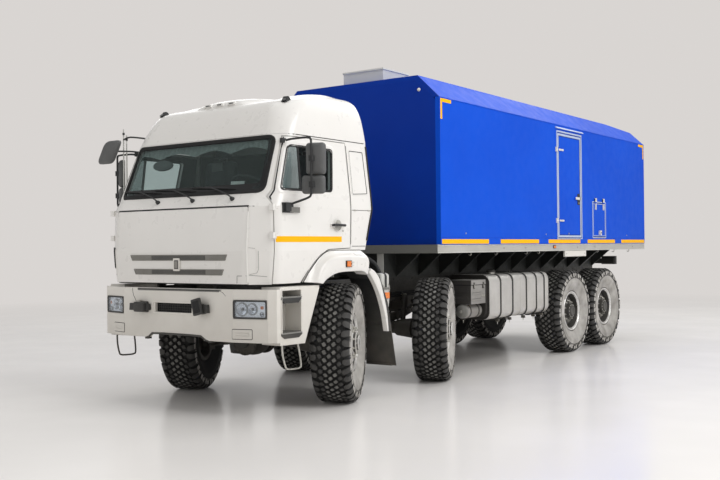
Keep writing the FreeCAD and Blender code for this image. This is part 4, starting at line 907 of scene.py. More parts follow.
def cab_roof():
    """The high roof as one smooth shell, with its crown, raised pod, shoulders and marker lamps."""
    kit = Kit(WHITE)
    rows = []
    for z in (2.757, 2.80, 2.85, 2.90, 2.95, 3.00, 3.04, 3.08, 3.105, 3.125, 3.142, 3.160, 3.180,
              3.200, 3.220, 3.238, 3.252, 3.265):
        half, flat, front, side, rear = roof_section(z)
        arcs = rounded([(-half, rear), (-half, side), (-flat, front), (flat, front), (half, side),
                        (half, rear)], (0.045, 0.13, 0.13, 0.13, 0.13, 0.045), 7)
        outline = []
        for i in range(0, len(arcs), 8):
            outline += arcs[i:i + 8]
            a, b = arcs[i + 7], arcs[(i + 8) % len(arcs)]
            outline += [a.lerp(b, k / 6) for k in range(1, 6)]
        rows.append([at(p.x, p.y, z) for p in outline])
    brim = rows[-1]
    middle = sum(brim, Vector()) / len(brim)
    for share, rise in ((0.75, 0.006), (0.45, 0.011), (0.15, 0.013)):
        rows.append([middle.lerp(p, share) + Vector((0, 0, rise)) for p in brim])
    kit.loft(rows)
    kit.put("cab_roof_shell", "cab", replaces=["cab_roof"], sharp=50.0)
    # raised pod in the middle of the brow, with its small lamps
    top = Skin("cab_roof", "top")
    pod = Kit(WHITE, SHELL)
    rows = []
    for x in spaced(-0.36, 0.36, 13):
        swell = max(0.0, 1 - abs(x / 0.36) ** 3) ** 0.5
        rows.append([top.on(x, y) + Vector((0, 0, rise * swell - 0.004)) for y, rise in
                     ((-0.66, 0.0), (-0.645, 0.030), (-0.60, 0.052), (-0.50, 0.062),
                      (-0.36, 0.055), (-0.20, 0.040), (-0.02, 0.018), (0.10, 0.0))])
    pod.grid(rows)
    for x in (-0.17, 0.0, 0.17):
        base = top.on(x, -0.640, 0.022)
        for half, y0, y1, z0, z1, m, taper in ((0.052, -0.014, 0.040, -0.010, 0.018, 0, 0.005),
                                               (0.028, -0.016, -0.012, -0.001, 0.010, 1, 0.001)):
            pod.block(base + Vector((-half, y0, z0)), base + Vector((half, y1, z1)), m, taper)
    pod.put("roof_pod", "cab")
    # raised shoulders along the sides of the crown
    ribs = Kit(WHITE)
    for side in (1, -1):
        rows = []
        for k in range(17):
            fade = math.sin(math.pi * k / 16) ** 0.6
            rows.append([top.on(side * (0.70 + w), -0.46 + 0.86 * k / 16)
                         + Vector((0, 0, h * fade - 0.003)) for w, h in
                         ((-0.150, 0.0), (-0.110, 0.014), (-0.060, 0.030), (0.0, 0.036),
                          (0.060, 0.030), (0.110, 0.014), (0.150, 0.0))])
        ribs.grid(rows)
    ribs.put("roof_shoulders", "cab", sharp=60.0)
    for side in (1, -1):
        lamp = Kit(PLASTIC, SHELL)
        place = (Matrix.Translation(top.on(side * 0.885, -0.600))
                 @ Matrix.Rotation(math.radians(8 * side), 4, "Z"))
        lamp.prism([(-0.060, -0.020), (0.055, -0.020), (0.040, 0.012), (0.010, 0.040),
                    (-0.012, 0.046), (-0.034, 0.018)], -0.030, 0.030, 0, 0, place)
        lamp.prism([(-0.072, -0.004), (-0.058, -0.008), (-0.036, 0.016), (-0.042, 0.022)],
                   -0.020, 0.020, 0, 1, place)
        lamp.put("marker_lamp_" + NAMES[side], "cab", bevel=0.004)


def cab_side(side):
    """Seams, seals, stripe and small fittings of one side of the cab."""
    skin, name = CAB_SIDES[side], NAMES[side]
    out = Vector((side, 0, 0))
    kit = Kit(RUBBER, WHITE, ZINC)
    # seal in the seam round the door
    kit.tube([skin.on(p.x, p.y) - out * 0.016 for p in split(grown(DOOR, -0.012), 10)],
             0.013, 6, closed=True)
    # recessed sleeper panel, locker seam with its hinges, and the seam under the high roof
    recess = [(0.130, 2.185), (0.400, 2.200), (0.388, 2.655), (0.140, 2.655)]
    skin.ring(kit, contour(recess, 0.008, 0.022, 4, 5), contour(recess, 0.0, 0.016, 4, 5), 0.004, 1)
    skin.ring(kit, contour(recess, -0.001, 0.016, 4, 5), contour(recess, -0.008, 0.012, 4, 5),
              0.0012)
    skin.line(kit, [(0.096, 2.700), (0.088, 2.160), (0.080, 1.660)], 0.009, 0.0010)
    skin.line(kit, [(0.100, 2.020), (0.460, 2.022)], 0.005, 0.0012)
    for y in (0.150, 0.400):
        p = skin.on(y, 2.020)
        kit.block(p - Vector((0.004, 0.016, 0.006)), p + Vector((0.008, 0.016, 0.006)), 2)
    skin.line(kit, [(-0.800, 2.752), (-0.5, 2.752), (0.0, 2.752), (0.475, 2.752)], 0.008, 0.0015)
    # black seal down the rear corner of the cab
    skin.line(kit, [(0.366, 1.70), (0.405, 1.84), (0.466, 2.04), (0.464, 2.15), (0.462, 2.72)],
              0.026, 0.009)
    skin.line(kit, [(0.098, 1.640), (0.340, 1.640)], 0.006, 0.0015)
    kit.put("cab_side_seams_" + name, "cab")
    door = Kit(RUBBER, YELLOW, PLASTIC, WHITE, ZINC)
    skin.strip(door, -1.096, -0.080, 1.685, 1.742, 0.0014, 1, 2, 60)
    seal(door, skin, WINDOW, 0.040, 0.012, 0.012, 0.004, 6)
    skin.drape(door, [contour(WINDOW, by, 0.040 + by, 5, 6)
                      for by in (0.046, 0.042, 0.032, 0.022, 0.012)],
               (-0.0005, 0.0025, 0.0035, 0.0015, Skin.SUNK), 3)
    skin.line(door, [(-0.722, 2.205), (-0.705, 2.625)], 0.024, 0.010)
    # handle: round cup, grip and lock
    middle = skin.on(-0.165, 1.857)
    door.lathe([(0.0, 0.0), (0.0008, 0.040), (0.003, 0.046), (0.003, 0.052), (0.0, 0.056)],
               facing(middle, out), 28, 4)
    door.tube(ease([middle + out * 0.020 + Vector((0, y, z)) for y, z in
                    ((-0.100, 0.000), (-0.06, 0.002), (0.0, 0.002), (0.06, 0.001), (0.094, 0.0))],
                   4), 0.0125, 8, 2)
    for foot in (middle + Vector((0, y, 0.0)) for y in (-0.10, 0.095)):
        door.tube([foot, foot + out * 0.024], 0.012, 8, 2)
    door.lathe([(0.0, 0.0), (0.003, 0.011), (0.005, 0.009), (0.005, 0.0)],
               facing(skin.on(-0.060, 1.800), out), 16, 4)
    door.put("door_trim_" + name, "cab_door_" + name)
    # the fixed quarter pane ahead of the divider is a shade lighter, a painted reflection
    pane = Kit(QUARTER_GLASS)
    outline = contour([(-0.988, 2.206), (-0.824, 2.624), (-0.717, 2.624), (-0.734, 2.209)],
                      0.0, 0.026, 5, 5)
    pane.loft([[skin.on(p.x, p.y, lift) for p in outline] for lift in (0.0008, 0.0032)], low=True)
    pane.put("quarter_glass_" + name, "cab_door_" + name)


def mirrors(side):
    """Tubular arms, bracket and two heads, with glass on the side the driver looks at."""
    name, skin = NAMES[side], CAB_SIDES[side]
    kit = Kit(PLASTIC, SHELL, MIRROR_GLASS, TRIM)
    post = 1.402
    # the far mirrors are turned toward the driver
    pivot = at(side * post, -0.800, 0.0)
    turn = Matrix.Rotation(math.radians(-40 if side < 0 else 22), 3, "Z")

    def head(outline, y):
        return [pivot + turn @ (at(side * p.x, y, p.y) - pivot) for p in outline]

    def block(origin, x, y, z, m):
        x0, x1 = sorted((side * x[0], side * x[1]))
        kit.block(origin + Vector((x0, y[0], z[0])), origin + Vector((x1, y[1], z[1])), m)
    bar = ((1.098, -0.862, 2.682), (1.180, -0.862, 2.690), (1.360, -0.858, 2.690),
           (1.398, -0.856, 2.670), (post, -0.855, 2.600), (post, -0.855, 2.200),
           (1.398, -0.857, 2.140), (1.360, -0.870, 2.105), (1.180, -0.950, 2.040))
    kit.tube(ease([at(side * x, y, z) for x, y, z in bar], 6), 0.011, 10)
    low = skin.on(-0.955, 2.020)
    block(low, (-0.010, 0.018), (-0.072, 0.075), (-0.052, 0.046), 0)
    block(low, (0.016, 0.040), (-0.058, 0.020), (-0.040, 0.046), 0)
    block(low, (0.010, 0.022), (0.020, 0.170), (-0.050, 0.004), 3)
    block(skin.on(-0.862, 2.680), (-0.010, 0.020), (-0.030, 0.030), (-0.022, 0.026), 0)
    for box, deep in (((1.312, 1.505, 2.334, 2.642), 0.062), ((1.268, 1.498, 2.148, 2.326), 0.056)):
        kit.loft([head(inset(*box, by, radius, 6), y) for y, by, radius in
                  ((-0.758, 0.010, 0.030), (-0.762, 0.0, 0.038), (-0.790, -0.001, 0.040),
                   (-0.812, 0.006, 0.042), (-0.826, 0.020, 0.045), (-0.774 - deep, 0.045, 0.040))], 1)
        glass_face = head(inset(*box, 0.010, 0.030, 6), -0.7575)
        kit.face([kit.mesh.verts.new(p) for p in glass_face], 2)
        z = (box[2] + box[3]) / 2
        block(at(side * post, -0.848, z), (-0.022, 0.022), (-0.020, 0.024), (-0.028, 0.028), 0)
        kit.bolt(facing(at(side * post, -0.868, z), AHEAD), 0.006, 0.008)
    kit.put("mirror_set_" + name, "cab_door_" + name, bevel=0.003,
            replaces=["mirror_" + name], sharp=40.0)


def ramp_mirror():
    """The near-view mirror ahead of the right pillar, on its own arm."""
    kit = Kit(PLASTIC, SHELL, MIRROR_GLASS, GREY)
    side = CAB_SIDES[-1]
    centre = at(-1.248, -1.100, 2.700)
    rows = [[centre + Vector((p.x + p.y * 0.60, y, p.y))
             for p in inset(-0.122, 0.122, -0.124, 0.124, by, 0.062, 6)]
            for y, by in ((0.030, 0.012), (0.026, 0.0), (0.0, 0.0), (-0.018, 0.010), (-0.030, 0.040))]
    kit.loft(rows, 1)
    kit.face([kit.mesh.verts.new(p + Vector((0, 0.001, 0))) for p in rows[0]], 2)
    for z, y, start in ((2.870, -0.690, [at(-1.205, -0.930, 2.850)]),
                        (2.712, -0.760, [at(-1.250, -1.075, 2.702), at(-1.200, -1.040, 2.712)])):
        root = side.on(y, z)
        kit.tube(ease(start + [at(-1.120, -0.900, z + 0.004), root], 6), 0.0095, 8)
        kit.tube([root - Vector((0.012, 0, 0)), root + Vector((0.006, 0, 0))], 0.026, 12)
    # two light poles that hold the arms' outer ends
    for x, y, low, high in ((-1.205, -0.930, 2.060, 2.965), (-1.176, -0.912, 2.120, 2.900)):
        kit.tube([at(x, y, low), at(x, y, high)], 0.0075, 8, 3)
        for z in (low + 0.02, high - 0.05):
            kit.tube([at(x, y, z - 0.012), at(x, y, z + 0.012)], 0.013, 8)
    for z in (2.110, 2.160):
        kit.tube([at(-1.209, -0.932, z), at(-1.172, -0.910, z), side.on(-0.860, z, -0.004)], 0.008)
    kit.put("ramp_mirror", "cab", sharp=40.0)


windshield_seal()
for index, pivot_x in enumerate((-0.372, 0.135, 0.681), 1):
    wiper(index, pivot_x)
grille()
panel_seams()
cab_roof()
for side in (1, -1):
    cab_side(side)
    mirrors(side)
ramp_mirror()


# ---- bumper, steps and wheel arches --------------------------------------------------
BUMPER = Skin("bumper tow_forks", "front")
BUMPER_Y = -1.303
# how far the bumper's ends, with the headlamps in them, are turned back
LAMP_TURN = math.atan2(0.088, 0.370)


def hollow(kit, point, outer, inner, low, high, m=0):
    """A frame between two rounded rectangles, from depth low to high, each rectangle as
    (a0, a1, b0, b1, radius); point maps (a, b, depth) to a place."""
    outer, inner = rectangle(*outer), rectangle(*inner)
    kit.grid([[point(p.x, p.y, depth) for p in outline] for outline, depth in
              ((outer, low), (outer, high), (inner, high), (inner, low))], m, True, True)


def headlamp(side):
    """Lamp unit in the bumper: frame, two bowls, side reflector, small lamp and cover."""
    name = NAMES[side]
    kit = Kit(PLASTIC, CHROME, LAMP_BACK, ORANGE, ZINC)
    c, s = math.cos(LAMP_TURN), math.sin(LAMP_TURN)
    out = Vector((side * s, -c, 0))

    def point(a, z, depth):
        """a runs outward along the bumper's slanted face."""
        return at(side * (0.780 + a * c), BUMPER_Y + a * s, z) + out * depth

    def slab(kit, outline, d0, d1, m=0):
        kit.loft([[point(p.x, p.y, d) for p in rectangle(*outline)] for d in (d0, d1)], m, low=True)
    floor = -0.024
    hollow(kit, point, (0.006, 0.371, 0.957, 1.133, 0.022), (0.020, 0.357, 0.971, 1.119, 0.014),
           -0.030, 0.007)
    # the back plate glows faintly: painted light
    slab(kit, (0.012, 0.365, 0.963, 1.127, 0.015), -0.030, floor, 2)
    bowl = ((0.0, 1.12), (0.010, 1.10), (0.012, 1.02), (0.009, 0.96), (0.003, 0.7), (0.001, 0.35),
            (0.000, 0.0))
    bulb = ((0.001, 0.0), (0.012, 0.12), (0.012, 0.20), (0.002, 0.24))
    for a, z, radius, sides in ((0.095, 1.045, 0.060, 40), (0.205, 1.047, 0.052, 40),
                                (0.307, 1.000, 0.020, 24)):
        place = facing(point(a, z, floor), out)
        kit.lathe([(u, radius * share) for u, share in bowl], place, sides,
                  colours=[4, 4, 4, 1, 1, 1])
        kit.lathe([(u, radius * share) for u, share in bulb], place, 16, colours=[4, 4, 0])
    slab(kit, (0.288, 0.342, 1.040, 1.088, 0.010), floor, -0.012, 2)
    slab(kit, (0.298, 0.330, 1.048, 1.078, 0.008), -0.012, -0.008, 3)
    for a in (0.026, 0.350):
        for z in (0.978, 1.112):
            kit.bolt(facing(point(a, z, floor), out), 0.004, 0.004, 4)
    kit.put("headlamp_" + name, "chassis", bevel=0.0015,
            replaces=["headlamps"] if side > 0 else [], sharp=30.0)
    cover = Kit(LENS)
    slab(cover, (0.018, 0.359, 0.969, 1.121, 0.015), -0.001, 0.003)
    cover.put("headlamp_cover_" + name, "chassis")


def bumper_details():
    """Lids, seams and slot of the bumper, the caps on its tow forks and its lower lip."""
    kit = Kit(RUBBER, BUMPER_WHITE, PLASTIC, TRIM)
    for side in (1, -1):
        lid = [(side * x, z) for x, z in ((0.775, 0.762), (0.985, 0.762), (0.985, 0.853),
                                          (0.775, 0.853))]
        BUMPER.ring(kit, contour(lid, 0.005, 0.014, 4, 3), contour(lid, -0.002, 0.010, 4, 3), 0.0008)
        BUMPER.ring(kit, contour(lid, -0.001, 0.010, 4, 3), contour(lid, -0.035, 0.004, 4, 3),
                    0.004, 1)
        BUMPER.patch(kit, grown(lid, -0.030), 0.004, 1, 2, 2)
    # seam from the top edge down to the right fork, strip and seams along the top
    BUMPER.line(kit, [(-0.643, 1.228), (-0.640, 1.190), (-0.628, 1.150), (-0.600, 1.112),
                      (-0.585, 1.086)], 0.006, 0.001)
    BUMPER.line(kit, [(0.600, 1.226), (0.655, 1.200), (0.690, 1.170)], 0.004, 0.0008)
    for z0, z1, x, lift, m in ((1.206, 1.230, 0.640, 0.0025, 3), (1.215, 1.224, 0.620, 0.0040, 2)):
        BUMPER.patch(kit, [(-0.560, z0), (0.600, z0), (x, z1), (-0.560, z1)], lift, m, 1, 2)
    kit.put("bumper_seams", "chassis", bevel=0.0008)
    # slot with its moulded frame and the dark screen behind it
    slot = Kit(BUMPER_WHITE, PLASTIC, RUBBER)
    hollow(slot, lambda x, z, depth: at(x, BUMPER_Y - depth, z),
           (-0.352, 0.255, 0.968, 1.108, 0.030), (-0.322, 0.232, 0.990, 1.084, 0.012), -0.020, 0.006)
    slot.box(1, (-0.302, 0.402), (-1.262, -1.256), (0.983, 1.087), 2)
    for x in (-0.285 + k * 0.034 for k in range(16)):
        slot.box(1, (x, x + 0.006), (-1.268, -1.261), (0.986, 1.084), 1)
    for z in (1.010, 1.035, 1.060):
        slot.box(1, (-0.298, 0.300), (-1.270, -1.264), (z, z + 0.005), 1)
    slot.put("bumper_slot", "chassis", bevel=0.004)
    # rubber caps and pins on the tow forks
    forks = Kit(PLASTIC, RUBBER, ZINC)
    forks.loft([[at(p.x, y, p.y) for p in inset(-0.555, -0.402, 0.986, 1.088, by, 0.022)]
                for y, by in ((-1.304, -0.006), (-1.330, -0.002), (-1.372, 0.0), (-1.378, 0.010))])
    for x, y, z, taper in (((-0.650, -0.555), (-1.345, -1.305), (1.000, 1.072), 0.003),
                           ((-0.402, -0.362), (-1.352, -1.305), (1.005, 1.070), 0.003),
                           ((0.310, 0.432), (-1.372, -1.303), (0.992, 1.020), 0.003),
                           ((0.405, 0.480), (-1.360, -1.304), (1.000, 1.082), 0.004)):
        forks.box(1, x, y, z, 0, taper)
    lean = Matrix.Translation(at(0.372, -1.372, 1.060)) @ Matrix.Rotation(math.radians(-14), 4, "Y")
    forks.prism(rectangle(-0.058, 0.060, -0.080, 0.082, 0.014), -0.016, 0.010, 1, 0, lean)
    forks.prism(rectangle(-0.042, 0.044, -0.060, 0.060, 0.010), -0.020, -0.015, 1, 1, lean)
    for x in (-0.510, 0.350):
        forks.lathe([(0.0, 0.0), (0.0, 0.022), (0.016, 0.022), (0.020, 0.016), (0.020, 0.0)],
                    facing(at(x, -1.330, 1.086), UP), 20, 2)
    forks.put("tow_fork_caps", "chassis", bevel=0.004)
    # dark lip along the notch in the lower edge
    lip = Kit(PLASTIC)
    lip.tube([at(*p) for p in ((-0.440, -1.296, 0.722), (-0.400, -1.298, 0.732),
                               (-0.352, -1.300, 0.768), (-0.200, -1.302, 0.772),
                               (0.200, -1.302, 0.772), (0.352, -1.300, 0.768),
                               (0.420, -1.298, 0.730), (0.460, -1.294, 0.724))], 0.011, 10)
    for x in (-0.445, 0.462):
        lip.box(1, (x - 0.025, x + 0.025), (-1.296, -1.240), (0.706, 0.732), 0, 0.004)
    lip.put("bumper_lip", "chassis", bevel=0.003)


def steps(side):
    """Wire loop, grip plates and rounded edges of one step housing."""
    # the loop on the right side, away from the light, is black instead of zinc: painted shade
    kit = Kit(ZINC if side > 0 else PLASTIC, PLASTIC, TRIM, BUMPER_WHITE)
    loop = ((1.185, -1.058, 0.715), (1.190, -1.050, 0.600), (1.196, -1.020, 0.495),
            (1.198, -0.990, 0.468), (1.200, -0.900, 0.460), (1.200, -0.812, 0.462),
            (1.198, -0.788, 0.488), (1.192, -0.800, 0.600), (1.186, -0.820, 0.700))
    kit.tube(ease([at(side * x, y, z) for x, y, z in loop], 6), 0.0095, 10)
    x0, x1 = sorted((side * 1.070, side * 1.222))
    for z, low in ((1.150, 1.098), (0.806, 0.762)):
        outline = [(-1.098, z), (-1.102, z - 0.014), (-1.060, z - 0.040), (-1.052, low),
                   (-0.842, low), (-0.834, z - 0.040), (-0.792, z - 0.014), (-0.796, z)]
        kit.prism([(y + AXLE_1_Y, h) for y, h in outline], x0, x1, 0, 1)
        kit.box(side, (1.010, 1.226), (-1.100, -0.794), (z - 0.002, z + 0.010), 2, 0.002)
        for y in (-1.084 + k * 0.034 for k in range(9)):
            kit.box(side, (1.030, 1.218), (y, y + 0.012), (z + 0.009, z + 0.016), 2, 0.002)
        for x in (1.060, 1.115, 1.170):
            kit.box(side, (x, x + 0.010), (-1.086, -0.806), (z + 0.009, z + 0.014), 1, 0.002)
    # rounded edges of the opening
    edge = ((-1.092, 0.815), (-1.092, 1.215), (-1.086, 1.228), (-0.812, 1.228), (-0.798, 1.215),
            (-0.798, 0.815))
    kit.tube([at(side * 1.2145, y, z) for y, z in edge], 0.009, 8, 3)
    kit.put("steps_" + NAMES[side], "chassis", bevel=0.002)


def even(points, count):
    """That many points, evenly spaced along the smooth path through those given."""
    path = ease([Vector(p) for p in points], 10)
    total = [0.0]
    for a, b in zip(path, path[1:]):
        total.append(total[-1] + (b - a).length)
    made, j = [], 0
    for want in spaced(0.0, total[-1], count):
        while j < len(total) - 2 and total[j + 1] < want:
            j += 1
        t = (want - total[j]) / max(total[j + 1] - total[j], 1e-9)
        made.append(path[j].lerp(path[j + 1], min(t, 1.0)))
    return made


# lines along the flare, seen from the side (y, z): seam to the door, crest, face, inner edge
FLARE = (((-0.706, 1.290), (-0.628, 1.376), (-0.530, 1.466), (-0.432, 1.540), (-0.320, 1.590),
          (-0.206, 1.600), (-0.060, 1.601), (0.120, 1.601), (0.250, 1.600)),
         ((-0.580, 1.282), (-0.558, 1.322), (-0.492, 1.432), (-0.418, 1.488), (-0.310, 1.522),
          (-0.175, 1.536), (0.000, 1.538), (0.160, 1.532), (0.300, 1.510)),
         ((-0.545, 1.276), (-0.500, 1.345), (-0.440, 1.400), (-0.330, 1.452), (-0.190, 1.470),
          (0.000, 1.472), (0.160, 1.466), (0.306, 1.450)),
         ((-0.490, 1.268), (-0.440, 1.304), (-0.380, 1.330), (-0.300, 1.358), (-0.186, 1.376),
          (0.000, 1.380), (0.190, 1.378), (0.278, 1.338)))
FLARE_ROOT_X = 1.168


def wheel_arch(side):
    """Flare round the first wheel: it rises out of the door's foot and turns in at its lip."""
    kit = Kit(WHITE, RUBBER, ORANGE, PLASTIC, GREY)
    count = 40
    seam, crest, face, inner = (even(line, count) for line in FLARE)
    rows = []
    for k, (s, c, f, i) in enumerate(zip(seam, crest, face, inner)):
        fall = min(1.0, (count - 1 - k) / 5)
        level = FLARE_ROOT_X + 0.004 * (1 - abs(2 * k / (count - 1) - 1))
        row = []
        for share, x in ((0.0, level - 0.020), (0.0, level), (0.30, level + 0.010),
                         (0.60, level + 0.030), (0.85, level + 0.058), (1.0, 1.243)):
            row.append((x + (1.244 - x) * (1 - fall) * share, s.lerp(c, share)))
        row += [(1.2505, c.lerp(f, 0.25)), (1.2520, c.lerp(f, 0.8)), (1.2520, f.lerp(i, 0.3)),
                (1.2515, f.lerp(i, 0.93)), (1.2470, i), (1.2200, i + (i - f) * 0.02),
                (1.1000, i + Vector((0, 0.006)))]
        rows.append([at(side * x, *p) for x, p in row])
    verts = kit.grid(rows)
    kit.face(verts[-1])
    kit.face(verts[0])
    # liner under the flare
    liner = [[at(side * x, *p) for x in (1.105, 1.0, 0.872)] for p in inner]
    kit.grid(liner, 3)
    kit.grid([[p + Vector((0, 0, 0.018)) for p in row] for row in liner], 3)
    kit.tube([at(side * (FLARE_ROOT_X + 0.004), *p) for p in seam], 0.0045, 6, 1)
    # side marker lamp in its clip, and a screw
    base = 1.252
    for y, z, rise, m in (((-0.114, -0.020), (1.424, 1.492), 0.012, 3),
                          ((-0.108, -0.045), (1.430, 1.486), 0.022, 2),
                          ((-0.045, 0.020), (1.470, 1.480), 0.014, 4),
                          ((-0.045, 0.012), (1.436, 1.446), 0.014, 4)):
        kit.plate(side, (base, base + rise), y, z, m, 0.006)
    kit.side_bolts(side, base, [(0.170, 1.448)], 0.005, 0.004, 4)
    kit.put("flare_" + NAMES[side], "cab",
            replaces=["wheel_arches"] if side > 0 else [], sharp=42.0)


def guard_trim(side):
    """Painted edge of the mudguard, and the flap's folded edges."""
    kit = Kit(WHITE, PLASTIC)
    outer, inner = (ease([Vector(p) for p in line], 6) for line in (
        ((0.338, 1.402), (0.420, 1.362), (0.505, 1.280), (0.565, 1.139), (0.630, 0.940),
         (0.660, 0.708)),
        ((0.300, 1.362), (0.362, 1.300), (0.440, 1.206), (0.508, 1.095), (0.580, 0.925),
         (0.634, 0.708))))
    kit.loft([[at(side * x, *p.lerp(q, share)) for x, share in
               ((1.200, 0.0), (1.249, 0.0), (1.256, 0.12), (1.259, 0.5), (1.256, 0.88),
                (1.249, 1.0), (1.200, 1.0))] for p, q in zip(outer, inner)], low=True)
    # the flap's folded top edge and hem, both in line with its lean
    for y, z in ((0.704, 0.770), (0.802, 0.322)):
        kit.box(side, (0.856, 1.205), (y - 0.016, y + 0.008), (z - 0.010, z + 0.010), 1, 0.002)
    kit.put("guard_trim_" + NAMES[side], "chassis", sharp=40.0)


bumper_details()
for side in (1, -1):
    headlamp(side)
    steps(side)
    wheel_arch(side)
    guard_trim(side)


# ---- van body ------------------------------------------------------------------------
# x of the side's skin, of what is let in a little behind it, and of the hinges' faces
BOX_X, BEHIND_X, HINGE_X = 1.250, 1.249, 1.2705
TAPE_X = (BEHIND_X, 1.2515)
DOOR_HINGES_Z = (1.997, 3.050)
HATCH_HINGES_Y = (6.590, 6.920)


def on_box(side):
    """Maps (y, z, depth) to a place on one side of the van body."""
    return lambda y, z, depth: at(side * (BOX_X + depth), y, z)


def box_side(side):
    """Tape, folded edges and fittings of one side of the van body, and of its door."""
    name = NAMES[side]
    kit = Kit(YELLOW, BLUE, DOOR_TRIM, ZINC, BUMPER_WHITE)
    for y in ((1.82, 3.00), (3.33, 4.50), (4.82, 5.98), (6.27, 7.43), (7.73, 8.865)):
        kit.plate(side, TAPE_X, y, (1.660, 1.716), 0, 0.002)
    for y0, y1, y2 in ((1.810, 1.852, 2.065), (8.862, 8.820, 8.607)):
        kit.plate(side, TAPE_X, sorted((y0, y1)), (3.157, 3.407), 0, 0.001)
        kit.plate(side, TAPE_X, sorted((y1, y2)), (3.365, 3.407), 0, 0.001)
    # folded edges of the skin: sill line, eave line and corner posts
    for y, z, x in (((1.796, 5.118), (1.734, 1.742), 1.2525), ((6.062, 8.873), (1.734, 1.742), 1.2525),
                    ((1.796, 8.873), (3.412, 3.420), 1.2545), ((1.792, 1.808), (1.656, 3.412), 1.2530),
                    ((8.861, 8.877), (1.656, 3.412), 1.2530)):
        kit.plate(side, (BEHIND_X, x), y, z, 1, 0.002)
    # frame round the door and the drip rail over it
    hollow(kit, on_box(side), (5.128, 6.052, 1.722, 3.334, 0.012),
           (5.150, 6.030, 1.733, 3.311, 0.006), -0.001, 0.007, 2)
    rail = ((1.248, 3.366), (1.275, 3.360), (1.277, 3.366), (1.256, 3.386), (1.248, 3.386))
    kit.prism([(side * x, z) for x, z in rail], 5.09 + AXLE_1_Y, 6.09 + AXLE_1_Y, 1, 2)
    # fixed hinge leaves with their screws
    for z in DOOR_HINGES_Z:
        kit.plate(side, (BEHIND_X, HINGE_X), (5.088, 5.1452), (z - 0.034, z + 0.034), 4, 0.006)
        kit.side_bolts(side, HINGE_X, [(y, z + dz) for y in (5.106, 5.136) for dz in
                                       (-0.018, 0.018)], 0.004, 0.003, 3)
    # drains along the sill, and rivets along sill and eave
    kit.side_bolts(side, BOX_X, [(y, 1.790) for y in (2.40, 4.74, 7.98)], 0.008, 0.007, 3)
    for y in (2.10, 3.60, 4.60, 6.40, 7.60, 8.70):
        for z in (3.395, 1.752):
            kit.lathe([(0.0, 0.0), (0.003, 0.0), (0.003, 0.003), (0.0, 0.006)],
                      facing(at(side * BOX_X, y, z), (side, 0, 0)), 10, 1)
    kit.put("box_trim_" + name, "chassis", bevel=0.0015)
    # what moves with the door
    door = Kit(DOOR_TRIM, BUMPER_WHITE, ZINC, PLASTIC, RUBBER)
    hollow(door, on_box(side), (5.166, 6.014, 1.748, 3.294, 0.010),
           (5.196, 5.984, 1.778, 3.264, 0.006), -0.001, 0.004)
    # a thin dark ring inside the door's trim: painted shadow along the door's edge
    hollow(door, on_box(side), (5.200, 5.980, 1.782, 3.260, 0.006),
           (5.206, 5.974, 1.788, 3.254, 0.004), -0.001, 0.002, 4)
    for z in DOOR_HINGES_Z:
        door.plate(side, (BEHIND_X, HINGE_X), (5.1668, 5.345), (z - 0.013, z + 0.013), 1, 0.005)
        door.side_bolts(side, HINGE_X, [(y, z) for y in (5.216, 5.266, 5.321)], 0.004, 0.003, 2)
    # lever handle with its rose and a lock
    door.plate(side, (BEHIND_X, 1.2550), (5.880, 5.965), (2.250, 2.420), 3, 0.012)
    door.plate(side, (1.270, 1.2805), (5.766, 5.956), (2.326, 2.366), 1, 0.014)
    door.plate(side, (BOX_X, 1.2820), (5.905, 5.945), (2.322, 2.370), 2, 0.010)
    door.lathe([(0.0, 0.0), (0.006, 0.0), (0.006, 0.012), (0.0, 0.014)],
               facing(at(side * 1.255, 5.925, 2.278), (side, 0, 0)), 16, 2)
    door.lathe([(0.0, 0.0), (0.010, 0.0), (0.012, 0.010), (0.0, 0.012)],
               facing(at(side * BOX_X, 5.540, 1.805), (side, 0, 0)), 14, 2)
    door.put("box_door_trim_" + name, "box_door_" + name, bevel=0.0015)


def hatch():
    """Trim that moves with the hatch, and the fixed frame round it."""
    kit = Kit(DOOR_TRIM, BUMPER_WHITE, PLASTIC)
    hollow(kit, on_box(1), (6.506, 7.004, 1.771, 2.294, 0.008), (6.516, 6.994, 1.781, 2.284, 0.005),
           -0.001, 0.003)
    for y in HATCH_HINGES_Y:
        kit.plate(1, (BEHIND_X, HINGE_X), (y - 0.014, y + 0.014), (2.193, 2.2932), 1, 0.004)
        kit.side_bolts(1, HINGE_X, [(y, z) for z in (2.212, 2.244, 2.276)], 0.004, 0.003, 1)
    handle_x = 1.283
    kit.plate(1, (BEHIND_X, handle_x), (6.728, 6.782), (1.788, 1.862), 1, 0.008)
    kit.lathe([(0.0, 0.0), (0.004, 0.0), (0.004, 0.010), (0.0, 0.012)],
              facing(at(handle_x, 6.755, 1.825), (1, 0, 0)), 16, 2)
    kit.put("hatch_trim", "box_hatch", bevel=0.0015)
    fixed = Kit(DOOR_TRIM, BUMPER_WHITE, ZINC)
    hollow(fixed, on_box(1), (6.474, 7.036, 1.739, 2.326, 0.010),
           (6.488, 7.022, 1.753, 2.312, 0.006), -0.001, 0.004)
    for y in HATCH_HINGES_Y:
        fixed.plate(1, (BEHIND_X, HINGE_X), (y - 0.030, y + 0.030), (2.3148, 2.378), 1, 0.005)
        fixed.side_bolts(1, HINGE_X, [(y - 0.018, 2.350), (y + 0.018, 2.350)], 0.004, 0.003, 2)
    fixed.put("hatch_frame", "chassis", bevel=0.0015)


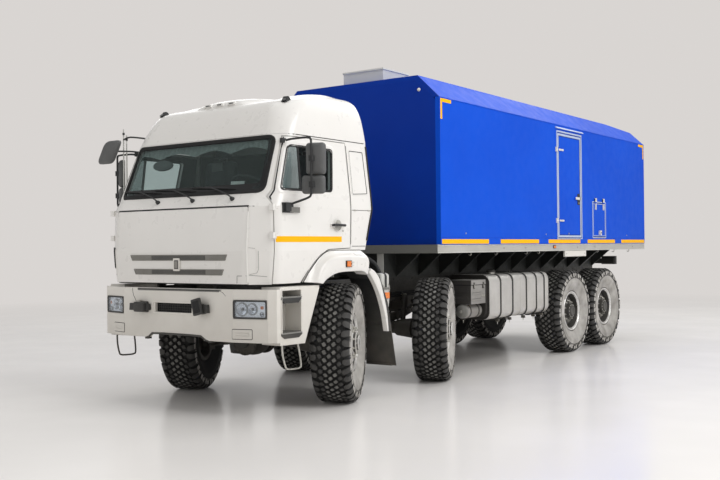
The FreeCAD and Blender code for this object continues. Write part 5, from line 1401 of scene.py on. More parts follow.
def box_ends():
    """Screws and lamps on the front wall; door gasket, lamps and tape on the rear one."""
    kit = Kit(BLUE_END_SHADED, BUMPER_WHITE, RED, ORANGE)
    front = Skin("box_end_walls box_roof box_side_walls", "front")
    screws = [(x, 3.655) for x in (0.500, 0.101, -0.300, -0.700)] + [(0.912, 3.650)]
    screws += [(x, 1.730) for x in (0.470, 0.690, 0.890, 1.100, -0.470, -0.890)]
    screws += [(side * 1.180, z) for side in (1, -1) for z in (1.856, 2.600, 3.300)]
    for x, z in screws:
        kit.lathe([(0.0, 0.0), (0.004, 0.0), (0.003, 0.005), (0.0, 0.008)],
                  facing(front.on(x, z), AHEAD), 12)
    for side in (1, -1):
        kit.lathe([(0.0, 0.0), (0.020, 0.0), (0.018, 0.014), (0.010, 0.020), (0.0, 0.022)],
                  facing(front.on(side * 0.964, 3.532), AHEAD), 20, 1)
    rear = Skin("box_end_walls box_roof box_rear_door box_side_walls", "rear").on(0.60, 2.60).y
    hollow(kit, lambda x, z, depth: Vector((x, rear + depth, z)),
           (-0.490, 0.490, 1.712, 3.340, 0.012), (-0.462, 0.462, 1.732, 3.312, 0.006), -0.001, 0.006)
    for side in (1, -1):
        for z, m in ((2.950, 3), (3.150, 2)):
            kit.lathe([(0.0, 0.0), (0.014, 0.0), (0.018, 0.034), (0.004, 0.044), (0.0, 0.044)],
                      facing(Vector((side * 1.020, rear, z)), BACK), 24, m)
        x0, x1 = sorted((side * 0.700, side * 1.150))
        kit.prism(rectangle(x0, x1, 1.662, 1.716, 0.003, 3), rear - 0.001, rear + 0.0022, 1, 2)
    kit.put("box_end_trim", "chassis", bevel=0.0015)


def box_roof_and_unit():
    """Lid, louvres and bolts of the roof unit, and the seam caps across the roof."""
    kit = Kit(GREY, TRIM, ZINC)
    top = Skin("roof_unit", "top").on(0.0, 2.27).z
    kit.box(1, (-0.322, 0.322), (1.968, 2.572), (top - 0.016, top + 0.006), 0, 0.004)
    for z in (top - 0.050 - k * 0.022 for k in range(6)):
        kit.box(-1, (0.308, 0.320), (2.060, 2.480), (z - 0.012, z), 1, 0.003)
    for x in (-0.290, 0.290):
        for y in (2.000, 2.540):
            kit.bolt(facing(at(x, y, top + 0.006), UP), 0.008, 0.008, 2)
    kit.put("roof_unit_trim", "chassis", bevel=0.002)
    roof = Skin("box_roof", "top")
    seams = Kit(BLUE)
    for y in (3.00, 4.19, 5.38, 6.57, 7.76):
        seams.grid([[roof.on(x, y + dy) + Vector((0, 0, rise)) for dy, rise in
                     ((-0.018, -0.002), (-0.014, 0.005), (0.014, 0.005), (0.018, -0.002))]
                    for x in spaced(-0.90, 0.90, 25)])
    seams.put("roof_seams", "chassis", sharp=40.0)


def platform_trim():
    """Rolled edges, lamps, bolts, hooks and boards along the platform."""
    kit = Kit(GREY, ORANGE, PLASTIC, ZINC, BUMPER_WHITE)
    rail_x = 1.235
    for side in (1, -1):
        # rolled top and bottom edge of the side rail
        for z in ((1.636, 1.650), (1.549, 1.560)):
            kit.plate(side, (1.233, 1.2405), (1.742, 8.903), z, 0, 0.003)
        # side marker lamp
        kit.plate(side, (1.234, 1.2440), (5.005, 5.095), (1.585, 1.632), 2, 0.010)
        kit.plate(side, (1.240, 1.2510), (5.014, 5.086), (1.591, 1.626), 1, 0.012)
        kit.side_bolts(side, rail_x, [(y, 1.600) for y in (3.45, 4.10, 5.90, 6.60, 8.30)],
                       0.009, 0.008, 3)
        # hooks for the lashing line under the rail
        for y in (2.60, 3.30, 4.20, 4.60, 6.80, 7.50, 8.20):
            hook = ((1.205, 1.550), (1.208, 1.525), (1.190, 1.512), (1.172, 1.525))
            kit.tube(ease([at(side * x, y, z) for x, z in hook], 4), 0.006, 6, 3)
        # board under the rail
        kit.plate(side, (1.228, 1.2325), (5.440, 6.245), (1.460, 1.546), 4, 0.006)
        kit.side_bolts(side, 1.2325, [(5.50, 1.503), (6.18, 1.503)], 0.006, 0.005, 3)
    kit.put("platform_trim", "chassis", bevel=0.0015)


def rear_end():
    """Lamps and blank plate on the rear guard, and the rod that locks the rear door."""
    kit = Kit(PLASTIC, RED, ORANGE, LENS, BUMPER_WHITE)

    def flat(x0, x1, z0, z1, radius, y0, y1, m):
        kit.prism(rectangle(x0, x1, z0, z1, radius, 4), y0 + AXLE_1_Y, y1 + AXLE_1_Y, 1, m)
    for side in (1, -1):
        for x, m in (((0.612, 0.682), 1), ((0.690, 0.750), 3), ((0.758, 0.838), 2)):
            flat(*sorted(side * a for a in x), 1.300, 1.415, 0.010, 8.558, 8.570, m)
        flat(*sorted((side * 0.602, side * 0.848)), 1.288, 1.427, 0.014, 8.556, 8.563, 0)
    flat(-0.260, 0.260, 1.300, 1.412, 0.008, 8.500, 8.506, 4)
    kit.box(1, (-0.275, 0.275), (8.494, 8.501), (1.292, 1.420), 0, 0.002)
    kit.put("rear_lamps", "chassis", bevel=0.002)
    rods = Kit(ZINC)
    x = 0.330
    y = Skin("box_rear_door", "rear").on(0.10, 2.0).y
    rods.tube([Vector((x, y + 0.022, 1.80)), Vector((x, y + 0.022, 3.24))], 0.011, 10)
    for z in (1.84, 2.15, 2.60, 2.90, 3.20):
        rods.block((x - 0.028, y - 0.001, z - 0.022), (x + 0.028, y + 0.036, z + 0.022), 0, 0.003)
    rods.put("rear_door_rods", "box_rear_door", bevel=0.002)


for side in (1, -1):
    box_side(side)
hatch()
box_ends()
box_roof_and_unit()
platform_trim()
rear_end()


# ---- running gear --------------------------------------------------------------------
AXLES = {1: 0.0, 2: 1.940, 3: 5.760, 4: 7.080}
AXLE_Z = 0.625
RAIL_X = 0.435
# a fuel tank: its ranges of x and of z, and the y of its ends
TANK_X, TANK_Z, TANK_ENDS = (0.560, 1.200), (0.660, 1.250), (3.090, 4.900)
TANK_CORNER = 0.110


def fuel_tank(side):
    """Straps with their clamps, weld seams, a filler and a drain on a fuel tank."""
    kit = Kit(RUBBER, ZINC, ALUMINIUM, BLACK)
    bottom, top = TANK_Z
    front, back = TANK_ENDS

    def hoop(y, width, lift, m):
        half = width / 2
        rows = []
        for dy, by in ((-half, 0.0), (-half, lift * 0.7), (0.003 - half, lift),
                       (half - 0.003, lift), (half, lift * 0.7), (half, 0.0)):
            outline = inset(*TANK_X, *TANK_Z, -by, TANK_CORNER + by, 8)
            rows.append([at(side * p.x, y + dy, p.y) for p in outline])
        kit.grid(rows, m, close_columns=True)
    for y in (3.410, 3.760, 4.180, 4.500, 4.760):
        hoop(y, 0.040, 0.004, 0)
        hoop(y, 0.022, 0.007, 3)
        # hooked clamp and its bolt under the tank
        for x in (1.145, 0.625):
            kit.box(side, (x - 0.025, x + 0.025), (y - 0.020, y + 0.020),
                    (bottom - 0.040, bottom - 0.004), 3, 0.003)
            kit.bolt(facing(at(side * x, y, bottom - 0.036), DOWN), 0.009, 0.016, 1)
            kit.tube([at(side * x, y, bottom - 0.052), at(side * x, y, bottom - 0.076)], 0.005, 8, 1)
    for y in (front + 0.030, back - 0.030, (front + back) / 2):
        hoop(y, 0.012, 0.0025, 2)
    # pressed panel in each end
    for y, out in ((front, -1), (back, 1)):
        kit.loft([[at(side * p.x, y + out * depth, p.y)
                   for p in inset(*TANK_X, *TANK_Z, by, TANK_CORNER - by * 0.6, 6)]
                  for by, depth in ((0.040, 0.0005), (0.046, 0.005), (0.060, 0.007),
                                    (0.075, 0.004))], 2)
    kit.lathe([(0.0, 0.0), (0.0, 0.058), (0.024, 0.054), (0.026, 0.064), (0.046, 0.064),
               (0.052, 0.058), (0.054, 0.0)], facing(at(side * 0.940, 3.620, top - 0.004), UP),
              colours=[1, 1, 3, 3, 3, 3])
    kit.box(side, (0.890, 0.990), (3.612, 3.628), (top + 0.050, top + 0.062), 3, 0.003)
    sender = facing(at(side * 0.860, 4.330, top - 0.002), UP)
    kit.lathe([(0.0, 0.0), (0.0, 0.040), (0.010, 0.040), (0.012, 0.022), (0.024, 0.018),
               (0.026, 0.0)], sender, 24, 3)
    kit.bolts(sender, 0.010, 0.032, 6, 0.004, 0.005, 1)
    kit.bolt(facing(at(side * 0.880, 4.000, bottom + 0.001), DOWN), 0.014, 0.014, 1)
    kit.put("tank_straps_" + NAMES[side], "chassis", bevel=0.001)


def battery_box(side):
    """Lid, latches and ribs, and the air bottle's bands."""
    kit = Kit(BATTERY_GREY, ZINC, RUBBER, BLACK, TRIM)
    x0, x1, y0, y1, z0, z1 = 0.820, 1.150, 2.690, 3.075, 0.885, 1.185
    kit.box(side, (x0 - 0.006, x1 + 0.007), (y0 - 0.006, y1 + 0.004), (z1 - 0.052, z1 + 0.007), 0,
            0.004)
    kit.box(side, (x0 - 0.002, x1 + 0.003), (y0 - 0.003, y1 + 0.002), (z1 - 0.060, z1 - 0.052), 2)
    for y in (y0 + 0.070, y1 - 0.070):
        kit.box(side, (x1, x1 + 0.012), (y - 0.016, y + 0.016), (z1 - 0.100, z1 - 0.022), 3, 0.002)
        kit.box(side, (x1 + 0.010, x1 + 0.018), (y - 0.009, y + 0.009), (z1 - 0.090, z1 - 0.050), 1,
                0.002)
    kit.side_bolts(side, x1, [(2.985, 0.985), (3.035, 0.985)], 0.011, 0.010, 1)
    for z in (z0 + 0.040, z0 + 0.120):
        kit.box(side, (x1 - 0.002, x1 + 0.005), (y0 + 0.030, y1 - 0.120), (z, z + 0.030), 0, 0.004)
    for z in (z0 + 0.05, z0 + 0.15):
        kit.box(side, (x0 + 0.04, x1 - 0.04), (y0 - 0.006, y0), (z, z + 0.050), 0, 0.002)
    # bands and dished ends on the air bottle below
    for y in (2.780, 2.990):
        kit.lathe([(-0.014, 0.0885), (-0.014, 0.094), (0.014, 0.094), (0.014, 0.0885)],
                  facing(at(side * 1.010, y, 0.790), BACK), m=3, closed=True)
    for y, out in ((2.700, AHEAD), (3.070, BACK)):
        spot = facing(at(side * 1.010, y, 0.790), out)
        kit.lathe([(-0.001, 0.088), (0.012, 0.082), (0.022, 0.062), (0.028, 0.034), (0.030, 0.0)],
                  spot, m=4)
        kit.bolt(spot @ Matrix.Translation((0.028, 0, 0)), 0.014, 0.014, 1)
    kit.put("battery_trim_" + NAMES[side], "chassis", bevel=0.0015)


def air_cleaner():
    """Two stacked housings with a strap, a lamp and the hoses from the cab's rear corner."""
    kit = Kit(CLEANER, TRIM, ZINC, PLASTIC, ORANGE, BLACK)
    x0, x1, y0, y1 = 0.762, 1.128, 0.712, 0.884

    def housing(z0, z1, grow, crown):
        """A housing from z0 to z1, its top drawn in over the height of its crown."""
        kit.loft([[at(p.x, p.y, z) for p in
                   rectangle(x0 - grow - by, x1 + grow + by, y0 - grow - by * 0.6,
                             y1 + grow + by * 0.6, 0.034)]
                  for z, by in ((z0, -0.010), (z0 + 0.006, 0.0), (z1 - crown, 0.0),
                                (z1 - crown * 0.4, -0.008), (z1, -0.030))], low=True)
    housing(1.172, 1.338, -0.002, 0.030)
    housing(1.046, 1.162, 0.001, 0.012)
    kit.box(1, (x0 + 0.01, x1 - 0.008), (y0 + 0.01, y1 - 0.008), (1.150, 1.180), 1)
    for z in (1.166, 1.158):
        kit.grid([[at(p.x, p.y, z + dz) for p in inset(x0, x1, y0, y1, -0.002 - by, 0.036)]
                  for dz, by in ((-0.004, 0.0), (-0.004, 0.005), (0.004, 0.005), (0.004, 0.0))],
                 1, close_columns=True)
    # spring clips
    clip = ((0.002, 1.120), (0.012, 1.150), (0.010, 1.196), (-0.002, 1.212))
    for y in (0.742, 0.852):
        kit.tube(ease([at(x1 + dx, y, z) for dx, z in clip], 4), 0.0035, 6, 2)
    # strap over the upper housing
    kit.grid([[at(x, y, z) for x, z in
               ((x1 + lift, 1.180), (x1 + lift, 1.306), (x1 - 0.024 + lift, 1.334 + lift),
                (0.945, 1.339 + lift), (x0 + 0.024 - lift, 1.334 + lift), (x0 - lift, 1.306),
                (x0 - lift, 1.180))]
              for y, lift in ((0.776, 0.001), (0.780, 0.005), (0.812, 0.005), (0.816, 0.001))], 3)
    # side lamp on the lower housing, bracket and arm, and the drain below
    kit.plate(1, (x1 - 0.002, x1 + 0.006), (0.742, 0.856), (1.050, 1.132), 0, 0.012, 4)
    kit.plate(1, (x1 + 0.004, x1 + 0.022), (0.752, 0.838), (1.056, 1.124), 4, 0.010, 4)
    bracket = ((0.742, 1.050), (0.866, 1.050), (0.852, 0.958), (0.800, 0.944))
    kit.prism([(y + AXLE_1_Y, z) for y, z in bracket], x1 - 0.010, x1 - 0.002)
    kit.plate(1, (0.430, 0.800), (0.760, 0.860), (1.048, 1.146), 5, 0.010, 4)
    kit.lathe([(0.0, 0.0), (0.0, 0.030), (0.030, 0.026), (0.050, 0.012), (0.052, 0.0)],
              facing(at(0.92, 0.80, 1.048), DOWN), 20, 3)
    # two ribbed hoses down from the cab's rear corner
    for x, path in ((1.046, ((0.560, 1.500), (0.626, 1.474), (0.700, 1.436), (0.760, 1.372),
                             (0.792, 1.326))),
                    (0.972, ((0.576, 1.528), (0.650, 1.500), (0.722, 1.462), (0.786, 1.392),
                             (0.816, 1.330)))):
        line = ease([at(x, y, z) for y, z in path], 10)
        across = Vector((1, 0, 0))
        rings = []
        for i, p in enumerate(line):
            ahead = (line[min(i + 1, len(line) - 1)] - line[max(i - 1, 0)]).normalized()
            up = ahead.cross(across)
            for push, radius in ((-0.004, 0.024), (0.0, 0.029), (0.004, 0.024)):
                rings.append([p + ahead * push + (across * math.cos(math.pi * k / 6)
                                                  + up * math.sin(math.pi * k / 6)) * radius
                              for k in range(12)])
        kit.grid(rings, 3, close_columns=True)
        kit.lathe([(-0.012, 0.026), (-0.012, 0.032), (0.010, 0.032), (0.010, 0.026)],
                  facing(line[-1], (0, 0.35, -1)), 20, 2, closed=True)
    kit.put("air_cleaner_housing", "chassis", bevel=0.0015, replaces=["air_cleaner"])


def frame_details():
    """Bolts along the rails, clips, an air line and bottles between the front axles."""
    kit = Kit(BLACK, ZINC, CAST, RUBBER, TRIM)
    for side in (1, -1):
        kit.side_bolts(side, RAIL_X, [(y + dy, z) for y in (1.42, 2.78, 3.70, 4.60, 5.15, 6.42,
                                                            7.70, 8.38)
                                      for dy in (-0.034, 0.034) for z in (1.110, 1.190)],
                       0.011, 0.010)
        kit.side_bolts(side, RAIL_X, [(0.70 + 0.43 * i, z) for i in range(18) for z in
                                      (1.225, 0.975)], 0.009, 0.008)
        # air lines clipped along the web
        for z, radius in ((1.060, 0.011), (1.035, 0.008), (1.012, 0.008)):
            kit.tube([at(side * (RAIL_X + 0.014), 0.60 + 0.40 * k, z + 0.004 * math.sin(1.7 * k))
                      for k in range(19)], radius, 6, 3)
        for y in (0.85 + 0.86 * i for i in range(9)):
            kit.box(side, (RAIL_X, RAIL_X + 0.030), (y - 0.012, y + 0.012), (0.998, 1.078), 4, 0.003)
        # air bottle between the first two axles
        start = 0.900
        spot = facing(at(side * 0.545, start, 0.830), BACK)
        kit.lathe([(-0.030, 0.0), (-0.026, 0.040), (-0.012, 0.078), (0.0, 0.092), (0.400, 0.092),
                   (0.412, 0.078), (0.426, 0.040), (0.430, 0.0)], spot, 28)
        for u in (0.080, 0.320):
            kit.lathe([(u - 0.014, 0.091), (u - 0.014, 0.097), (u + 0.014, 0.097),
                       (u + 0.014, 0.091)], spot, 28, closed=True)
            kit.box(side, (0.425, 0.560), (start + u - 0.014, start + u + 0.014), (0.915, 0.962), 0,
                    0.002)
        kit.bolt(facing(at(side * 0.545, 1.330, 0.830), BACK), 0.016, 0.020, 1)
        # shelf with a valve block behind the first axle
        kit.box(side, (0.430, 0.800), (1.060, 1.360), (1.084, 1.096), 0, 0.003)
        kit.box(side, (0.500, 0.700), (1.110, 1.250), (1.096, 1.180), 2, 0.012)
        kit.side_bolts(side, 0.705, [(1.140, 1.140), (1.185, 1.140)], 0.013, 0.020, 1)
        kit.prism([(side * x, z) for x, z in ((0.432, 1.086), (0.780, 1.086), (0.432, 0.960))],
                  1.200 + AXLE_1_Y, 1.208 + AXLE_1_Y, 1)
    kit.put("frame_details", "chassis", bevel=0.0015)


def suspension():
    """Leaves, clips and U-bolts on the springs, cover bolts and chambers on the axles."""
    kit = Kit(BLACK, ZINC, CAST)
    spring = (0.350, 0.430)

    def wide(by):
        """The spring's range of x, wider by that much on both sides."""
        return spring[0] - by, spring[1] + by
    for side in (1, -1):
        x0, x1 = sorted((side * spring[0], side * spring[1]))
        for y in (AXLES[1], AXLES[2]):
            for dy in (-0.115, 0.115):
                bow = ((x0 - 0.012, 0.570), (x0 - 0.012, 0.800), (x0 + 0.004, 0.822),
                       (x1 - 0.004, 0.822), (x1 + 0.012, 0.800), (x1 + 0.012, 0.570))
                kit.tube(ease([at(x, y + dy, z) for x, z in bow], 3), 0.011)
                for x in (x0 - 0.012, x1 + 0.012):
                    kit.bolt(facing(at(x, y + dy, 0.590), DOWN), 0.014, 0.020, 1)
            kit.box(side, wide(0.030), (y - 0.140, y + 0.140), (0.592, 0.612), 2, 0.004)
            for share in (-0.62, 0.62):
                z = 0.905 - 0.10 * (1 - share * share)
                clip = y + share * 0.60
                kit.box(side, wide(0.008), (clip - 0.018, clip + 0.018), (z - 0.080, z + 0.020), 0,
                        0.003)
            # damper from the axle to the rail
            for low, high, radius in (((0.500, 0.140, 0.640), (0.486, 0.200, 0.860), 0.034),
                                      ((0.486, 0.200, 0.850), (0.476, 0.240, 1.020), 0.042)):
                kit.tube([at(side * x, y + dy, z) for x, dy, z in (low, high)], radius, 16)
            kit.side_bolts(side, 0.436, [(y + 0.240, 1.020)], 0.020, 0.060, 1)
            # cast end of the axle beam, and the bracket over the spring's rear eye
            kit.lathe([(0.0, 0.074), (0.030, 0.100), (0.150, 0.112), (0.240, 0.122),
                       (0.270, 0.118), (0.275, 0.074)],
                      facing(at(side * 0.500, y, AXLE_Z), (side, 0, 0)), 28)
            bracket = ((0.590, 0.952), (0.790, 0.952), (0.760, 0.870), (0.680, 0.840),
                       (0.620, 0.870))
            kit.prism([(y + dy + AXLE_1_Y, z) for dy, z in bracket], x0 - 0.014, x1 + 0.014)
        middle = (AXLES[3] + AXLES[4]) / 2
        for y in (middle - 0.085, middle + 0.085):
            kit.box(side, wide(0.010), (y - 0.014, y + 0.014), (0.700, 0.905), 0, 0.003)
        for i in range(9):
            reach, z = 0.62 - 0.055 * i, 0.741 + 0.0155 * i
            kit.box(side, wide(0.001), (middle - reach, middle + reach), (z, z + 0.0125), 0, 0.002)
        for y in (AXLES[3], AXLES[4]):
            kit.lathe([(-0.050, 0.0), (-0.050, 0.060), (-0.010, 0.082), (0.0, 0.092),
                       (0.014, 0.092), (0.024, 0.082), (0.100, 0.080), (0.116, 0.060),
                       (0.120, 0.0)], facing(at(side * 0.640, y - 0.170, 0.720), AHEAD), 28)
            kit.box(side, (0.610, 0.670), (y - 0.130, y - 0.050), (0.640, 0.760), 2, 0.006)
    for y in AXLES.values():
        for out in (-1, 1):
            spot = facing(at(-0.120, y + out * 0.150, AXLE_Z), (0, out, 0))
            kit.lathe([(0.0, 0.165), (0.0, 0.185), (0.016, 0.185), (0.018, 0.150), (0.050, 0.110),
                       (0.066, 0.060), (0.068, 0.0)], spot, 36, 2)
            kit.bolts(spot, 0.016, 0.170, 12, 0.009, 0.009)
    kit.put("suspension_details", "chassis")


def brake_chambers():
    """One chamber on the inner side of each steered knuckle."""
    for number in (1, 2):
        for side in (1, -1):
            tag = "%d_%s" % (number, NAMES[side])
            steer = Vector(JOINTS["steer_" + tag]["pos_m"])
            out = side * Vector(JOINTS["wheel_%s_spin" % tag]["axis"])
            back = Vector((-out.y, out.x, 0.0)) * side
            kit = Kit(BLACK, ZINC, CAST)
            middle = Vector((steer.x, steer.y, AXLE_Z)) - out * 0.060
            spot = facing(middle - back * 0.110 + Vector((0, 0, 0.240)), -back)
            kit.lathe([(-0.036, 0.0), (-0.036, 0.040), (-0.008, 0.054), (0.0, 0.062),
                       (0.012, 0.062), (0.020, 0.054), (0.068, 0.052), (0.078, 0.038),
                       (0.082, 0.0)], spot, 28)
            for turn in (0.4, 2.5, 4.6):
                kit.bolt(spot @ Matrix.Translation(spoke(Matrix(), 0.014, 0.056, turn)), 0.006,
                         0.008, 1)
            kit.tube([spot @ Vector((-0.030, 0, 0)), middle + Vector((0, 0, 0.196))], 0.018, 12, 2)
            kit.put("brake_chamber_" + tag, "knuckle_" + tag)


for side in (1, -1):
    fuel_tank(side)
    battery_box(side)
air_cleaner()
frame_details()
suspension()
brake_chambers()


# ---- cab interior --------------------------------------------------------------------
SEAT_X = 0.560
# the bunk's length across the cab, its front and rear edge, and where the mattress starts
BUNK_X, BUNK_Y, BUNK_Z = 1.030, (0.072, 0.402), 2.000


def lining():
    """Trim inside the cab, dark partly in its own colour and partly as painted shade: rear wall,
    overhead shelf, sides, floor mat and the doors.
    """
    kit = Kit(LINER, TRIM, RUBBER)
    for x, y, z, m, taper in ((1.045, (0.432, 0.441), (1.660, 2.740), 0, 0.0),
                              (0.960, (-0.700, 0.425), (2.872, 2.892), 0, 0.0),
                              (0.960, (-0.716, -0.690), (2.850, 2.912), 1, 0.004),
                              (0.930, (-0.850, 0.050), (1.652, 1.660), 2, 0.0)):
        kit.box(1, (-x, x), y, z, m, taper)
    for x in (-0.62, 0.0, 0.62):
        kit.box(1, (x - 0.210, x + 0.210), (-0.712, -0.500), (2.900, 3.010), 0, 0.020)
    for side in (1, -1):
        kit.box(side, (1.052, 1.061), (0.100, 0.430), (2.190, 2.735))
    kit.put("cab_lining", "cab", bevel=0.003)
    for side in (1, -1):
        skin, name = CAB_SIDES[side], NAMES[side]
        door = Kit(LINER, TRIM, PLASTIC, ZINC)
        edge = contour([(-1.005, 2.172), (-0.846, 2.700), (0.052, 2.700), (0.038, 2.172)],
                       0.0, 0.030, 5, 5)
        hole = contour(WINDOW, 0.003, 0.040, 5, 5)
        skin.drape(door, (edge, hole, hole), (-0.053, -0.053, -0.006))
        rows = []
        for z in spaced(1.700, 2.168, 7):
            front = -1.060 + max(0.0, 2.10 - z) * 0.02
            rows.append([skin.on(y, z, -0.060) for y in spaced(front, 0.030, 11)])
        door.grid(rows)
        rest = [skin.on(y, 1.960, -0.085) for y in (-0.72, -0.66, -0.40, -0.22, -0.16)]
        door.tube(ease(rest, 4), 0.022, 10, 2)
        pull = skin.on(-0.820, 2.030, -0.064)
        door.lathe([(0.0, 0.0), (0.0, 0.020), (0.008, 0.018), (0.010, 0.0)],
                   facing(pull, (-side, 0, 0)), 16, 3)
        door.tube([pull, pull + Vector((-side * 0.010, 0.060, -0.050))], 0.006, 8, 2)
        # the post between the fixed pane and the sliding one
        door.tube([skin.on(-0.732, 2.192, -0.026), skin.on(-0.715, 2.644, -0.026)], 0.012, 8, 1)
        door.put("door_lining_" + name, "cab_door_" + name)


def stuff(piece, place, voxel, lines, cap):
    """Remesh the pad, let it swell between its sewn lines, and keep the result."""
    scene = bpy.context.scene

    def keep():
        """What the modifiers make of the pad becomes its mesh."""
        bpy.context.view_layer.update()
        graph = bpy.context.evaluated_depsgraph_get()
        made = bpy.data.meshes.new_from_object(piece.evaluated_get(graph))
        piece.modifiers.clear()
        old, piece.data = piece.data, made
        bpy.data.meshes.remove(old)
    remesh = piece.modifiers.new("remesh", "REMESH")
    remesh.mode = "VOXEL"
    remesh.voxel_size = voxel
    keep()
    before = [v.co.copy() for v in piece.data.vertices]
    group = piece.vertex_groups.new(name="sewn")
    back = place.inverted()
    group.add([i for i, p in enumerate(before)
               if any(abs((back @ p)[axis] - level) < reach for axis, level, reach in lines)],
              1.0, "REPLACE")
    cloth = piece.modifiers.new("cloth", "CLOTH")
    cloth.settings.use_pressure = True
    cloth.settings.uniform_pressure_force = 4.0
    cloth.settings.effector_weights.gravity = 0.0
    cloth.settings.vertex_group_mass = "sewn"
    cloth.settings.quality = 4
    for number in range(1, 21):
        scene.frame_set(number)
    keep()
    scene.frame_set(1)
    for v, start in zip(piece.data.vertices, before):
        moved = v.co - start
        if moved.length > cap:
            v.co = start + moved.normalized() * cap
    for face in piece.data.polygons:
        face.use_smooth = True


def pad(name, place, rings, voxel, lines, cap, replaces=()):
    """One cushion of the left seat, stuffed, and the same cushion on the right seat. It is
    lofted through rounded outlines, (height, half width, y0, y1, radius); lines are the
    sewn ones, (axis, level, reach); no point swells by more than cap."""
    kit = Kit(FABRIC)
    kit.loft([[place @ Vector((p.x, p.y, height)) for p in
               rectangle(-half, half, y0, y1, radius, 6)]
              for height, half, y0, y1, radius in rings], low=True)
    piece = kit.put(name + "_left", "cab", replaces=replaces, sharp=80.0)
    stuff(piece, place, voxel, lines, cap)
    piece.data.materials.clear()
    piece.data.materials.append(FABRIC)
    round_off = piece.modifiers.new("soft", "SUBSURF")
    round_off.levels = round_off.render_levels = 1
    other = piece.copy()
    other.data = piece.data.copy()
    other.name = name + "_right"
    bpy.context.scene.collection.objects.link(other)
    for v in other.data.vertices:
        v.co.x -= 2 * SEAT_X
    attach(other, "cab")


def seats():
    """Cushions, backrests and head restraints of both seats, and what carries them."""
    def leaning(y, z):
        """A place on the backrest, with x across it, y up it and z out of its face."""
        return (Matrix.Translation(at(SEAT_X, y, z))
                @ Matrix.Rotation(-math.atan2(0.065, 0.54), 4, "X")
                @ Matrix.Rotation(math.radians(90), 4, "X") @ Matrix.Diagonal((1, 1, -1, 1)))
    pad("seat_cushion", Matrix.Translation(at(SEAT_X, -0.300, 2.000)),
        [(0.002, 0.225, -0.215, 0.225, 0.050), (0.030, 0.240, -0.232, 0.234, 0.060),
         (0.078, 0.240, -0.232, 0.234, 0.060), (0.096, 0.226, -0.216, 0.222, 0.056),
         (0.100, 0.190, -0.180, 0.190, 0.050)],
        0.014, [(0, -0.150, 0.008), (0, 0.150, 0.008), (1, -0.090, 0.007), (1, 0.060, 0.007)],
        0.014, ["seats"])
    pad("seat_back", leaning(-0.095, 2.120),
        [(-0.042, 0.200, 0.020, 0.480, 0.060), (-0.034, 0.222, 0.004, 0.500, 0.070),
         (0.030, 0.228, 0.000, 0.505, 0.070), (0.044, 0.205, 0.022, 0.482, 0.060)],
        0.014, [(0, -0.135, 0.008), (0, 0.135, 0.008), (1, 0.160, 0.007), (1, 0.290, 0.007),
                (1, 0.400, 0.007)], 0.012)
    pad("seat_head", leaning(-0.022, 2.660),
        [(-0.030, 0.100, 0.010, 0.110, 0.035), (-0.024, 0.118, 0.000, 0.126, 0.045),
         (0.020, 0.120, 0.000, 0.128, 0.045), (0.030, 0.100, 0.012, 0.112, 0.035)],
        0.010, [(1, 0.064, 0.004)], 0.010)
    kit = Kit(PLASTIC, BLACK, ZINC, PANEL, RUBBER)
    for x in (SEAT_X, -SEAT_X):
        # pedestal with its bellows, side covers and the posts of the head restraint
        for k in range(7):
            fold, other = (0.016, 0.0) if k % 2 else (0.0, 0.016)
            kit.grid([[at(p.x, p.y, 1.690 + 0.036 * k + dz) for p in
                       inset(x - 0.170, x + 0.170, -0.440, -0.100, -by, 0.040, 4)]
                      for dz, by in ((0.0, fold), (0.018, other), (0.036, fold))],
                     4, close_columns=True)
        kit.box(1, (x - 0.190, x + 0.190), (-0.470, -0.070), (1.652, 1.690), 1, 0.006)
        kit.box(1, (x - 0.200, x + 0.200), (-0.480, -0.070), (1.945, 1.996), 0, 0.004)
        for dx in (-0.055, 0.055):
            kit.tube([at(x + dx, -0.030, 2.580), at(x + dx, -0.014, 2.700)], 0.007, 8, 2)
        arm = ((0.236, -0.080, 2.030), (0.240, -0.110, 2.110), (0.232, -0.090, 2.180))
        for out in (-1, 1):
            kit.tube(ease([at(x + out * dx, y, z) for dx, y, z in arm], 4), 0.018, 10)
        kit.lathe([(0.0, 0.0), (0.0, 0.026), (0.014, 0.022), (0.016, 0.0)],
                  facing(at(x + 0.240, -0.140, 2.060), (1, 0, 0)), 18, 2)
        # piping sewn round the cushion
        kit.tube([at(x + p.x, -0.300 + p.y, 2.088) for p in
                  rectangle(-0.246, 0.246, -0.238, 0.240, 0.064, 6)], 0.0045, 6, 4, closed=True)
        # label panel on the front of the backrest's top
        front = at(x, -0.118, 2.560).y
        kit.prism(rectangle(x - 0.085, x + 0.085, 2.508, 2.604, 0.014, 4), front, front + 0.006, 1, 3)
    kit.put("seat_frames", "cab", bevel=0.001)


